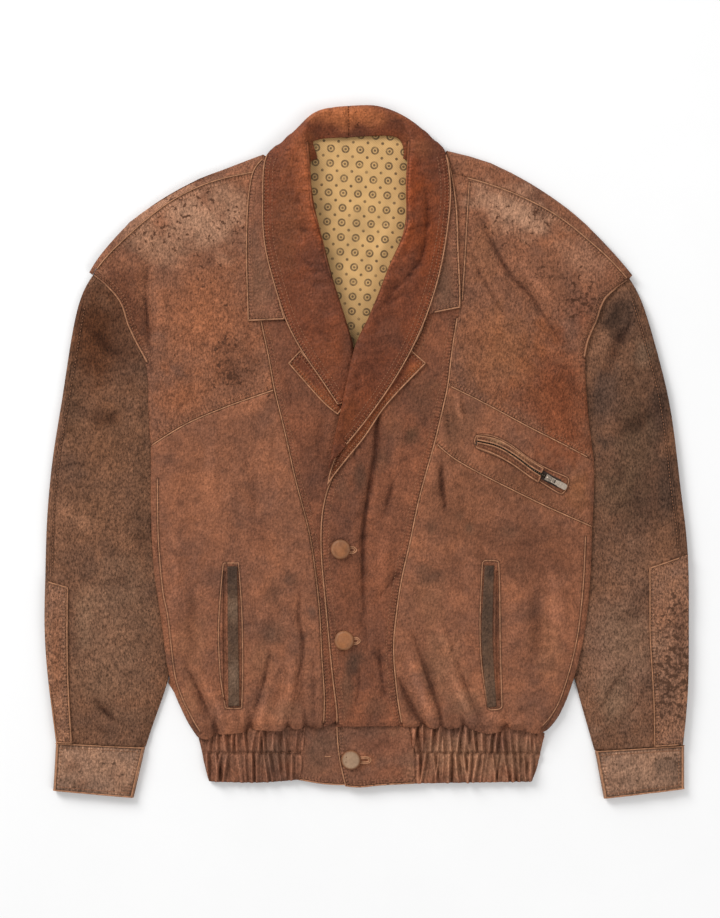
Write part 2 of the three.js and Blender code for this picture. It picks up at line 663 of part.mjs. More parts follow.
function bandPanel(edges, rows, cols, height) {
  const grid = patch(
    along(edges.left, even(rows)),
    along(edges.right, even(rows)),
    along(edges.top, even(cols)),
    along(edges.bottom, even(cols)),
  );
  return panel(grid, height, LEATHER);
}

// The elastic's ribs run up and down; its outer end rounds down to the back waistband
function ribbed(edges, ribs, outerEnd) {
  const endLine = along(outerEnd, even(20));
  const left = along(edges.left, even(20));
  const right = along(edges.right, even(20));
  return (x, y) => {
    const u = THREE.MathUtils.inverseLerp(xAt(left, y), xAt(right, y), x);
    const rib = RIB_RISE * Math.sin(2 * Math.PI * ribs * u);
    const end = roundOver(nearest(endLine, x, y).distance, BAND_ROUND);
    return EDGE_ON_BACK + (ELASTIC_TOP + rib - EDGE_ON_BACK) * end;
  };
}
const rightRibs = ribbed(ELASTIC_RIGHT, RIBS_RIGHT, ELASTIC_RIGHT.left);
const leftRibs = ribbed(ELASTIC_LEFT, RIBS_LEFT, ELASTIC_LEFT.right);
add('waistband_right_elastic', bandPanel(ELASTIC_RIGHT, 2, 4 * RIBS_RIGHT, rightRibs), BAND_BROWN);
add('waistband_left_elastic', bandPanel(ELASTIC_LEFT, 2, 4 * RIBS_LEFT, leftRibs), BAND_BROWN);
add('waistband_right_tab', bandPanel(TAB_RIGHT, 3, 4, () => TAB_RIGHT_TOP), BAND_BROWN);
add('waistband_left_tab', bandPanel(TAB_LEFT, 4, 5, () => TAB_LEFT_TOP), BAND_BROWN);

const backBand = [
  ...along([[-189, -319.8], [-185, -336], [-182, -352], [-178, -367]], even(4)),
  ...along([[187, -367], [193, -352], [195, -336], [200, -319.8]], even(4)),
];
add('waistband_back', plate(backBand, LEATHER), BAND_BROWN);

// Under-collars and lapels lie on the fronts
const onFront = (x, y) => frontHeight(x, y) + LAY + LEATHER;
const UNDER_COLLAR_RIGHT = {
  outer: [[-117, 328], [-126, 319], [-132, 293], [-135, 243], [-135, 215], [-134, 181], [-133, 146]],
  inner: [[-106, 320], [-104, 282], [-104, 226], [-100, 181], [-91, 148]],
};
const UNDER_COLLAR_LEFT = {
  inner: [[80, 319], [82, 282], [80, 226], [73, 181], [69, 154]],
  outer: [[91, 330], [96, 309], [101, 275], [103, 226], [105, 181], [105, 161]],
};
const LAPEL_RIGHT = {
  outer: [[-88, 99], [-67, 75], [-46, 52], [-32, 41]],
  inner: [[-74, 114], [-54, 89], [-39, 67], [-26, 49]],
};
const LAPEL_LEFT = {
  inner: [[50, 114], [26, 86], [4, 52], [-18, 22], [-35, -4], [-42, -25]],
  outer: [[67, 99], [34, 65], [17, 45], [-1, 17], [-19, -5], [-35, -25], [-44, -38]],
};
const rightUnderCollar = strip(UNDER_COLLAR_RIGHT.outer, UNDER_COLLAR_RIGHT.inner, 14, 4, onFront, LEATHER);
const leftUnderCollar = strip(UNDER_COLLAR_LEFT.inner, UNDER_COLLAR_LEFT.outer, 14, 4, onFront, LEATHER);
add('right_under_collar', rightUnderCollar, 0x7f5d4c);
add('left_under_collar', leftUnderCollar, 0x7f5d4c);
add('right_lapel', strip(LAPEL_RIGHT.outer, LAPEL_RIGHT.inner, 8, 3, onFront, LEATHER), COLLAR_BROWN);
add('left_lapel', strip(LAPEL_LEFT.inner, LAPEL_LEFT.outer, 14, 3, onFront, LEATHER), COLLAR_BROWN);

// Shawl collar: each section runs from the neck edge over the roll to the free edge.
// Behind the neck the free edge turns down to the table; in front it lies on the lapel.
const RIGHT_COLLAR_BACK = [
  [[-19.8, 352.5, 6.6], [-19.8, 362.6, 10], [-19.8, 374, 14.5], [-19.8, 381.6, 15.5], [-19.8, 386.7, 12],
    [-19.8, 388.4, 7], [-19.8, 386, 2.2], [-19.8, 374, 0.3]],
  [[-45, 351.5, 6.6], [-46, 362.6, 10], [-48.7, 374, 14.5], [-51, 379.4, 16], [-54.3, 382.8, 12.5],
    [-56, 383.3, 7], [-54.3, 381, 2.2], [-51, 371.5, 0.3]],
  [[-60, 348, 6.6], [-63, 353.6, 11], [-65.5, 359, 16.5], [-69, 363.7, 18], [-73.4, 365.4, 14.5],
    [-76.7, 364.8, 8], [-75.6, 362, 2.5], [-70, 356, 0.3]],
  [[-56.6, 335.7, 6], [-61.6, 338, 10], [-63.8, 340.2, 16], [-67.8, 344.7, 19], [-79, 350.3, 18.5],
    [-91.3, 350.3, 13], [-95.8, 346.4, 6], [-92.4, 341.3, 0.5]],
  [[-55.4, 329, 5.4], [-60.5, 330, 9.5], [-62.7, 331.8, 15.5], [-66.6, 334.6, 19.5], [-79, 339, 20.5],
    [-93.5, 342.4, 17.5], [-102.5, 341.8, 13.5], [-107.5, 338, 9.5]],
];
const LEFT_COLLAR_BACK = [
  [[-19.4, 352.5, 6.6], [-19.4, 362.6, 10], [-19.4, 374, 14.5], [-19.4, 381.6, 15.5], [-19.4, 386.7, 12],
    [-19.4, 388.4, 7], [-19.4, 386, 2.2], [-19.4, 374, 0.3]],
  [[9.5, 354.2, 6.6], [10, 364.8, 10.5], [11.8, 377, 15], [12.9, 383.9, 16], [14, 387.8, 12.5],
    [14.6, 388.4, 7], [14, 385.6, 2.2], [11.8, 374, 0.3]],
  [[36.4, 352.5, 6.6], [39.8, 359.2, 12], [42, 364.8, 17], [45.4, 369.3, 18.5], [49.8, 371, 15],
    [53.8, 369.9, 9], [52.6, 366.5, 2.5], [46.5, 359.2, 0.3]],
  [[42, 336, 6], [45.4, 339, 11], [47, 342.4, 17], [51, 348, 19.5], [60, 354.2, 18.5],
    [71, 353.6, 13], [76, 349, 6], [72.2, 342.4, 0.5]],
  [[41, 329, 5.4], [45.5, 330.5, 10], [47, 332, 16], [51, 335.5, 20], [61, 341, 20.5],
    [74, 345.5, 17], [81, 345, 13], [85.5, 341, 9.5]],
];

// Front sections: roll point, free-edge point, then heights of the tucked leaf, the roll and the free edge
const RIGHT_COLLAR_FRONT = [
  { roll: [-62.2, 323], edge: [-115, 324], leaf: 4.8, crest: 21.5, rest: 18 },
  { roll: [-60.5, 293], edge: [-116.5, 286], leaf: 4.8, crest: 22, rest: 17.6 },
  { roll: [-55.4, 265], edge: [-116.7, 257], leaf: 4.8, crest: 22, rest: 17.4 },
  { roll: [-45.4, 226], edge: [-113.7, 226], leaf: 4.8, crest: 22, rest: 17.4 },
  { roll: [-35.3, 188], edge: [-103.6, 187], leaf: 5, crest: 21.5, rest: 17.4 },
  { roll: [-23, 150], edge: [-90.2, 145], leaf: 7, crest: 20.5, rest: 17.4 },
  { roll: [-14, 116], edge: [-71.1, 109.5], leaf: 11, crest: 19, rest: 17.4 },
  { roll: [-12.5, 84], edge: [-51, 80.5], leaf: 13.4, crest: 18.6, rest: 17.4 },
  { roll: [-16, 56], edge: [-33, 53], leaf: 13.4, crest: 18.4, rest: 17.4 },
];
const LEFT_COLLAR_FRONT = [
  { roll: [44.8, 323], edge: [91.3, 324.5], leaf: 4.8, crest: 21.5, rest: 18 },
  { roll: [43, 302], edge: [94.6, 293], leaf: 4.8, crest: 22, rest: 17.6 },
  { roll: [43.7, 268.5], edge: [93, 265], leaf: 4.8, crest: 22, rest: 17.4 },
  { roll: [39.8, 241.6], edge: [89, 235], leaf: 4.8, crest: 22, rest: 17.4 },
  { roll: [26.3, 212.5], edge: [83.4, 204.7], leaf: 4.8, crest: 22, rest: 17.4 },
  { roll: [13.4, 179], edge: [75.6, 175.6], leaf: 5.5, crest: 22, rest: 17.4 },
  { roll: [-0.6, 145], edge: [65.5, 146.4], leaf: 12, crest: 23, rest: 17.4 },
  { roll: [-13, 118.5], edge: [49.8, 111.7], leaf: 19.2, crest: 24.6, rest: 17.6 },
  { roll: [-20.7, 85], edge: [29.7, 77], leaf: 19.2, crest: 24.6, rest: 17.6 },
  { roll: [-28.6, 47], edge: [4, 40], leaf: 18.4, crest: 23.6, rest: 17.6 },
  { roll: [-35.8, 16.5], edge: [-18.5, 12], leaf: 14.6, crest: 20, rest: 17.6 },
  { roll: [-43.1, -18.2], edge: [-38.6, -11.5], leaf: 14.2, crest: 19.4, rest: 18.6 },
];

// Eight points of a front section, from the leaf tucked under the roll out to the free edge
function collarSection({ roll, edge, leaf, crest, rest }) {
  const start = new THREE.Vector3(roll[0], roll[1], 0);
  const axis = new THREE.Vector3(edge[0], edge[1], 0).sub(start);
  const width = axis.length();
  axis.normalize();
  const near = Math.min(8, 0.35 * width);
  const point = (d, z) => start.clone().addScaledVector(axis, d).setZ(z);
  return [
    point(near * 0.9, leaf),
    point(near * 0.2, THREE.MathUtils.lerp(leaf, crest, 0.12)),
    point(0, THREE.MathUtils.lerp(leaf, crest, 0.5)),
    point(near * 0.28, THREE.MathUtils.lerp(leaf, crest, 0.9)),
    point(near, crest),
    point(THREE.MathUtils.lerp(near, width, 0.35), THREE.MathUtils.lerp(crest, rest, 0.5)),
    point(THREE.MathUtils.lerp(near, width, 0.7), THREE.MathUtils.lerp(crest, rest, 0.85)),
    point(width, rest),
  ];
}

// The sections joined by smooth lines along the collar
function collar(back, front, rows) {
  const sections = [
    ...back.map((section) => section.map((p) => new THREE.Vector3(...p))),
    ...front.map(collarSection),
  ];
  const lines = sections[0].map((_, j) => {
    const points = sections.map((section) => section[j]);
    return new THREE.CatmullRomCurve3(points, false, 'centripetal');
  });
  const onTable = (p) => p.setZ(Math.max(p.z, SEAM));
  const grid = even(rows).map((t) => lines.map((line) => onTable(line.getPoint(t))));
  const normals = gridNormals(grid);
  const facing = normals[Math.round(rows / 2)][4].z > 0 ? 1 : -1;
  return wall(grid, offsetIn(grid, normals, facing * COLLAR_LEATHER));
}
add('right_shawl_collar', collar(RIGHT_COLLAR_BACK, RIGHT_COLLAR_FRONT, 26), COLLAR_BROWN);
add('left_shawl_collar', collar(LEFT_COLLAR_BACK, LEFT_COLLAR_FRONT, 32), COLLAR_BROWN);

// Hand pockets: a welt beside each slit and a facing behind it
const underFront = (x, y) => frontHeight(x, y) - LEATHER - LAY;
const WELT_RIGHT = { inner: [[-144.6, -128], [-142, -284]], outer: [[-155.6, -128], [-154.6, -285]] };
const WELT_LEFT = { inner: [[132, -127], [128.5, -211], [135, -286]], outer: [[142.6, -127],
  [141, -211], [145.4, -285]] };
add('right_pocket_welt', strip(WELT_RIGHT.outer, WELT_RIGHT.inner, 10, 2, onFront, LEATHER), WELT_BROWN);
add('left_pocket_welt', strip(WELT_LEFT.inner, WELT_LEFT.outer, 10, 2, onFront, LEATHER), WELT_BROWN);
const rightFacing = strip([[-170, -128], [-170, -284]], [[-148, -128],
  [-148, -284]], 10, 2, underFront, LEATHER);
const leftFacing = strip([[137, -128], [139, -284]], [[159, -128],
  [161, -284]], 10, 2, underFront, LEATHER);
add('right_pocket_facing', rightFacing, FRONT_BROWN);
add('left_pocket_facing', leftFacing, FRONT_BROWN);

// Chest zip: tape on the band, a leather lip above and below it, the slider at its low end
const ZIP_LINE = [[123, 12], [146, 7], [167, -5], [188, -21], [206, -31], [216, -36]];
const ZIP_SLIDER = new THREE.Vector3(205, -30.5, 0);
const ZIP_TURN = Math.atan2(-0.472, 0.881);
const shifted = (line, dx, dy) => line.map(([x, y]) => [x + dx, y + dy]);
const tapeHeight = (x, y) => frontHeight(x, y) + LAY + TAPE;
const lipHeight = (x, y) => tapeHeight(x, y) + LAY + LEATHER;
const tape = strip(shifted(ZIP_LINE, 2, 4.5), shifted(ZIP_LINE, -2, -4.5), 10, 2, tapeHeight, TAPE);
add('zip_tape', tape, 0x3a2f28, 0.9);
const UPPER_LIP = {
  outer: [[122, 19], [146, 15], [167, 3], [188, -12], [198, -18]],
  inner: [[124, 14.2], [146, 9.4], [167, -2.6], [188, -18.2], [196.4, -22.6]],
};
const LOWER_LIP = {
  inner: [[123, 9.6], [145, 4.6], [165.6, -7.6], [186.4, -23.6], [194.6, -28.4]],
  outer: [[122.6, 4], [140, -2], [162, -14], [184, -30], [192, -34.6]],
};
add('zip_upper_lip', strip(UPPER_LIP.outer, UPPER_LIP.inner, 8, 2, lipHeight, LEATHER), FRONT_BROWN);
add('zip_lower_lip', strip(LOWER_LIP.inner, LOWER_LIP.outer, 8, 2, lipHeight, LEATHER), FRONT_BROWN);

// Slider body: wide at its front, narrow at its tail
const sliderHalf = SLIDER.length / 2;
const sliderOutline = new THREE.Shape();
sliderOutline.moveTo(-sliderHalf, -SLIDER.width / 2);
sliderOutline.lineTo(sliderHalf - 3, -SLIDER.width * 0.42);
sliderOutline.quadraticCurveTo(sliderHalf, -SLIDER.width * 0.36, sliderHalf, 0);
sliderOutline.quadraticCurveTo(sliderHalf, SLIDER.width * 0.36, sliderHalf - 3, SLIDER.width * 0.42);
sliderOutline.lineTo(-sliderHalf, SLIDER.width / 2);
const sliderBody = new THREE.ExtrudeGeometry(sliderOutline, {
  depth: SLIDER.height, bevelEnabled: false, curveSegments: 5,
});

// Bridge: an arch along the slider, drawn in its side view and given its width
const bridgeHalf = BRIDGE.length / 2;
const bridgeOutline = new THREE.Shape();
bridgeOutline.moveTo(-bridgeHalf, -0.4);
bridgeOutline.lineTo(-bridgeHalf, BRIDGE.height - 0.6);
bridgeOutline.lineTo(-bridgeHalf + 0.8, BRIDGE.height);
bridgeOutline.lineTo(bridgeHalf - 0.8, BRIDGE.height);
bridgeOutline.lineTo(bridgeHalf, BRIDGE.height - 0.6);
bridgeOutline.lineTo(bridgeHalf, -0.4);
bridgeOutline.lineTo(bridgeHalf - BRIDGE.bar, -0.4);
bridgeOutline.lineTo(bridgeHalf - BRIDGE.bar, BRIDGE.height - BRIDGE.bar);
bridgeOutline.lineTo(-bridgeHalf + BRIDGE.bar, BRIDGE.height - BRIDGE.bar);
bridgeOutline.lineTo(-bridgeHalf + BRIDGE.bar, -0.4);
const bridge = new THREE.ExtrudeGeometry(bridgeOutline, { depth: BRIDGE.width, bevelEnabled: false });
bridge.rotateX(Math.PI / 2);
bridge.translate(0, BRIDGE.width / 2, SLIDER.height);

// Pull tab: its window goes round the bridge and its end bar lies under it; the bar's axis is the origin
const pullOutline = new THREE.Shape();
const pullBack = -PULL.bar / 2;
pullOutline.moveTo(pullBack, -PULL.neck / 2);
pullOutline.lineTo(6, -PULL.neck / 2);
pullOutline.lineTo(9, -PULL.width / 2);
pullOutline.lineTo(PULL.length - 3, -PULL.width / 2);
pullOutline.quadraticCurveTo(PULL.length, -PULL.width / 2, PULL.length, 0);
pullOutline.quadraticCurveTo(PULL.length, PULL.width / 2, PULL.length - 3, PULL.width / 2);
pullOutline.lineTo(9, PULL.width / 2);
pullOutline.lineTo(6, PULL.neck / 2);
pullOutline.lineTo(pullBack, PULL.neck / 2);
const pullWindow = new THREE.Path();
const windowStart = PULL.bar / 2;
pullWindow.moveTo(windowStart, -PULL.windowWidth / 2);
pullWindow.lineTo(windowStart, PULL.windowWidth / 2);
pullWindow.lineTo(windowStart + PULL.windowLength, PULL.windowWidth / 2);
pullWindow.lineTo(windowStart + PULL.windowLength, -PULL.windowWidth / 2);
pullOutline.holes.push(pullWindow);
const pullTab = new THREE.ExtrudeGeometry(pullOutline, {
  depth: PULL.thick, bevelEnabled: false, curveSegments: 4,
});
pullTab.translate(0, 0, -PULL.thick / 2);

const zip = new THREE.Group();
zip.position.copy(ZIP_SLIDER).setZ(tapeHeight(ZIP_SLIDER.x, ZIP_SLIDER.y) + SEAM);
zip.rotation.z = ZIP_TURN;
const slider = add('zip_slider', join(sliderBody, bridge), BRASS, 0.4, 0.9);
const pull = add('zip_pull', pullTab, BRASS, 0.4, 0.9);
pull.position.set(PULL_PIVOT.x, 0, SLIDER.height + PULL_PIVOT.z);
pull.rotation.y = PULL_DROOP;
zip.add(slider, pull);
jacket.add(zip);

// Buttons: domed, buttoned through the left front and the left waistband tab
const BUTTONS = [
  { name: 'button_1', at: [-29, -109], under: frontHeight },
  { name: 'button_2', at: [-25, -211], under: frontHeight },
  { name: 'button_3', at: [-17.5, -345], under: () => TAB_LEFT_TOP },
];
const buttonProfile = [
  [0, 0], [0.62, 0], [0.68, 0.22], [0.98, 0.3], [1, 0.42], [0.9, 0.64], [0.68, 0.84], [0.36, 0.97], [0, 1],
].map(([r, z]) => new THREE.Vector2(r * BUTTON_RADIUS, z * BUTTON_RISE));
for (const button of BUTTONS) {
  const [x, y] = button.at;
  const dome = new THREE.LatheGeometry(buttonProfile, 16);
  dome.rotateX(Math.PI / 2);
  const rim = even(8).map((t) => {
    const turn = 2 * Math.PI * t;
    return button.under(x + BUTTON_RADIUS * Math.cos(turn), y + BUTTON_RADIUS * Math.sin(turn));
  });
  const mesh = add(button.name, dome, BUTTON_TAN, 0.45);
  mesh.position.set(x, y, Math.max(button.under(x, y), ...rim) + SEAM);
}

export default jacket;
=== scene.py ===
"""A worn leather blouson laid flat on its back: its leathers, folds, sewing and small fittings.

Tables are in millimetres: +X is the wearer's left, +Y points to the collar, +Z up off the table.
"""

import math

import bmesh
import bpy
import numpy as np
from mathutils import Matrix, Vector
from mathutils.bvhtree import BVHTree
from mathutils.kdtree import KDTree


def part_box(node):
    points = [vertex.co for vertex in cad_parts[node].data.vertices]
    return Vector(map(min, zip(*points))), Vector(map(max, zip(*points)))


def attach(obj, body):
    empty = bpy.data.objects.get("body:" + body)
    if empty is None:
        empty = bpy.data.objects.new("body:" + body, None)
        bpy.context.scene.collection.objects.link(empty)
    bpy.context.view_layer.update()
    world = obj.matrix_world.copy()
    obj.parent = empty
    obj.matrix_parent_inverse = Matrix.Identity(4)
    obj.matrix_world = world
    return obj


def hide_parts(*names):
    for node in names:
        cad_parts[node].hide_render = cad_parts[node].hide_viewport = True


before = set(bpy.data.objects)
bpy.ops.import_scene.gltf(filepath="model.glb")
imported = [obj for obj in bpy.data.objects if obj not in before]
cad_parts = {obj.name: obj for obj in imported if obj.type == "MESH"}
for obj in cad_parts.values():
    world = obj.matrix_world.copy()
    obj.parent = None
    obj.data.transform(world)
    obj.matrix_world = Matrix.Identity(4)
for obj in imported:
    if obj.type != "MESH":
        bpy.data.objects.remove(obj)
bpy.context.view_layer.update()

bl_info = {
    "name": "Worn leather blouson",
    "version": (1, 0, 0),
    "blender": (4, 5, 0),
    "location": "3D View > Sidebar > Jacket",
    "description": "Builds the leathers, sewing and fittings of a worn blouson that lies flat",
    "category": "Object",
}

MM = 0.001
WELD = 2e-6
SHARP = math.radians(50)

# Distances from a sewn edge: the groove beside the lap, and the value where no seam is near
GROOVE = 2.2
FAR = 60.0

# Insets of the usual two rows of stitches
TWO_ROWS = (2.8, 6.8)

# Studio light lays a pale veil on matt hide, so its pigment is deeper than the colour that is seen
PIGMENT = np.array((0.88, 0.81, 0.72))

# Finished pieces by name, so that later sewing can lie on them
PIECES = {}


def linear(code):
    """A linear colour from an sRGB hex value."""
    channels = [int(code[i : i + 2], 16) / 255 for i in (1, 3, 5)]
    return tuple(c / 12.92 if c <= 0.04045 else ((c + 0.055) / 1.055) ** 2.4 for c in channels)


def length_prop(name, description, default):
    return bpy.props.FloatProperty(
        name=name, description=description, default=default, min=0.00005, precision=5, unit="LENGTH"
    )


def colour_prop(name, description, code):
    return bpy.props.FloatVectorProperty(
        name=name, description=description, default=linear(code), min=0, max=1, size=3, subtype="COLOR"
    )


class JacketSizes(bpy.types.PropertyGroup):
    """Sizes of the sewing, the grain and the small fittings."""

    stitch_pitch: length_prop("Stitch pitch", "Distance from one stitch to the next", 0.0036)
    stitch_length: length_prop("Stitch length", "Length of the thread that shows in one stitch", 0.0027)
    thread: length_prop("Thread", "Thickness of the sewing thread", 0.00085)
    edge_cord: length_prop("Folded edge", "Radius of the turned edge along a lapped seam", 0.0007)
    grain: length_prop("Grain", "Width of one grain of the napped leather", 0.0017)
    mottle: length_prop("Mottling", "Width of the light and dark clouds in the leather", 0.042)
    tooth_pitch: length_prop("Tooth pitch", "Distance from one zip tooth to the next", 0.0024)
    print_pitch: length_prop("Print pitch", "Distance from one printed ring to the next", 0.0165)
    crease: bpy.props.FloatProperty(
        name="Creases", description="Depth of the creases, 1 as worn", default=1.3, min=0.0, max=2.0
    )


class JacketColours(bpy.types.PropertyGroup):
    """Colours of the leathers, cloths and metal."""

    chest: colour_prop("Chest", "Leather of the chest, yokes and back", "#875942")
    front: colour_prop("Side fronts", "Leather of the side fronts and the pocket band", "#8c5b43")
    centre: colour_prop("Centre fronts", "Leather of the centre fronts", "#7e4e38")
    sleeve: colour_prop("Sleeves", "Leather of the sleeves", "#775440")
    patch: colour_prop("Patches", "Leather of the forearm patches", "#8e6650")
    cuff: colour_prop("Cuffs", "Leather of the cuffs", "#9c7863")
    collar: colour_prop("Collar", "Leather of the shawl collar and lapels", "#774129")
    under_collar: colour_prop("Under-collar", "Leather of the under-collars", "#855843")
    waistband: colour_prop("Waistband", "Leather of the waistband", "#835844")
    welt: colour_prop("Welts", "Leather of the pocket welts", "#5f4839")
    edge: colour_prop("Worn edge", "Leather rubbed pale at edges and ridges", "#a87859")
    thread: colour_prop("Thread", "Sewing thread", "#95664a")
    lining: colour_prop("Lining", "Ground of the lining cloth", "#c39a62")
    figure: colour_prop("Print", "Printed figures of the lining", "#402c12")
    tape: colour_prop("Zip tape", "Woven tape of the zip", "#33261f")
    metal: colour_prop("Zip metal", "Nickel of the zip", "#a8998a")
    teeth: colour_prop("Zip teeth", "Tarnished brass of the teeth", "#554b3f")
    button: colour_prop("Buttons", "Leather over the buttons", "#a06a44")
    floor: colour_prop("Floor", "Plain pale floor", "#f4f4f4")


# Small maths on arrays of millimetres


def smooth_line(points, step=2.0):
    """Points every `step` on a smooth line through the given ones."""
    p = np.array(points, float)
    p = np.vstack([2 * p[0] - p[1], p, 2 * p[-1] - p[-2]])
    t = np.linspace(0, 1, 24, endpoint=False)[:, None]
    runs = []
    for a, b, c, d in zip(p, p[1:], p[2:], p[3:]):
        cubic = (2 * b) + (c - a) * t + (2 * a - 5 * b + 4 * c - d) * t**2 + (3 * b - a - 3 * c + d) * t**3
        runs.append(0.5 * cubic)
    line = np.vstack(runs + [p[-2:-1]])
    gaps = np.linalg.norm(np.diff(line, axis=0), axis=1)
    run = np.concatenate([[0], np.cumsum(gaps)])
    at = np.linspace(0, run[-1], max(2, int(run[-1] / step) + 1))
    return np.column_stack([np.interp(at, run, line[:, k]) for k in range(line.shape[1])])


def noise(x, y, size, seed):
    """Smooth noise from -1 to 1, with hills about `size` wide."""
    u = x / size + 17.3 * seed
    v = y / size - 9.1 * seed
    i = np.floor(u)
    j = np.floor(v)
    su = (u - i) ** 2 * (3 - 2 * (u - i))
    sv = (v - j) ** 2 * (3 - 2 * (v - j))

    def corner(a, b):
        h = np.sin(a * 127.1 + b * 311.7 + seed * 74.7) * 43758.5453
        return 2 * (h - np.floor(h)) - 1

    low = corner(i, j) * (1 - su) + corner(i + 1, j) * su
    high = corner(i, j + 1) * (1 - su) + corner(i + 1, j + 1) * su
    return low * (1 - sv) + high * sv


def fade(value, start, end):
    """Eases from 0 at `start` to 1 at `end`."""
    t = np.clip((value - start) / (end - start), 0, 1)
    return t * t * (3 - 2 * t)


def fold(x, y, line, width, rise):
    """A soft ridge, or a trough where rise is negative, that dies out at both ends of its line."""
    path = smooth_line(line, 3.0)
    reach = 3.5 * width
    low, high = path.min(0) - reach, path.max(0) + reach
    near = (x > low[0]) & (x < high[0]) & (y > low[1]) & (y < high[1])
    out = np.zeros_like(x)
    if not near.any():
        return out
    dx = x[near][:, None] - path[None, :, 0]
    dy = y[near][:, None] - path[None, :, 1]
    square = dx * dx + dy * dy
    nearest = square.argmin(1)
    away = np.sqrt(square[np.arange(len(nearest)), nearest]) / width
    along = nearest / (len(path) - 1)
    taper = np.sin(np.pi * np.clip(along, 0.04, 0.96)) ** 0.7
    shape = np.exp(-(away**2)) - 0.35 * np.exp(-((away - 1.9) ** 2))
    if rise < 0 and width < 8:
        # a sharp trough is pinched to a narrow line at its bottom
        shape = 0.5 * shape + 0.7 * np.exp(-((away / 0.28) ** 2))
    out[near] = rise * taper * shape
    return out


def wrinkles(seed, count, corner, far_corner, lean, spread):
    """Short fine creases scattered over a rectangle, leaning about `lean` degrees from upright."""
    dice = np.random.default_rng(seed)
    found = []
    for start in dice.uniform(corner, far_corner, (count, 2)):
        turn = math.radians(90 + lean + dice.normal(0, spread))
        reach = dice.uniform(12, 42)
        bend = dice.uniform(-0.12, 0.12) * reach
        ahead = np.array((math.cos(turn), math.sin(turn)))
        middle = start + 0.5 * reach * ahead + bend * np.array((-ahead[1], ahead[0]))
        line = [start, middle, start + reach * ahead]
        found.append((line, dice.uniform(2.0, 4.5), dice.uniform(-1.1, 0.5)))
    return found


def headings(line):
    """Unit steps along a line, and across it to the left."""
    ahead = np.gradient(line, axis=0)
    ahead /= np.maximum(np.linalg.norm(ahead, axis=1), 1e-9)[:, None]
    return ahead, np.column_stack([-ahead[:, 1], ahead[:, 0]])


def runs_where(points, wanted, least):
    """Stretches of neighbouring wanted points that hold more than `least` of them."""
    runs = [[]]
    for point, keep in zip(points, wanted):
        if keep:
            runs[-1].append(point)
        else:
            runs.append([])
    return [run for run in runs if len(run) > least]


def tree_of(points):
    """A search tree over the plan of some points."""
    tree = KDTree(len(points))
    for k, point in enumerate(points):
        tree.insert((point[0], point[1], 0), k)
    tree.balance()
    return tree


# Creases: line, half width, rise

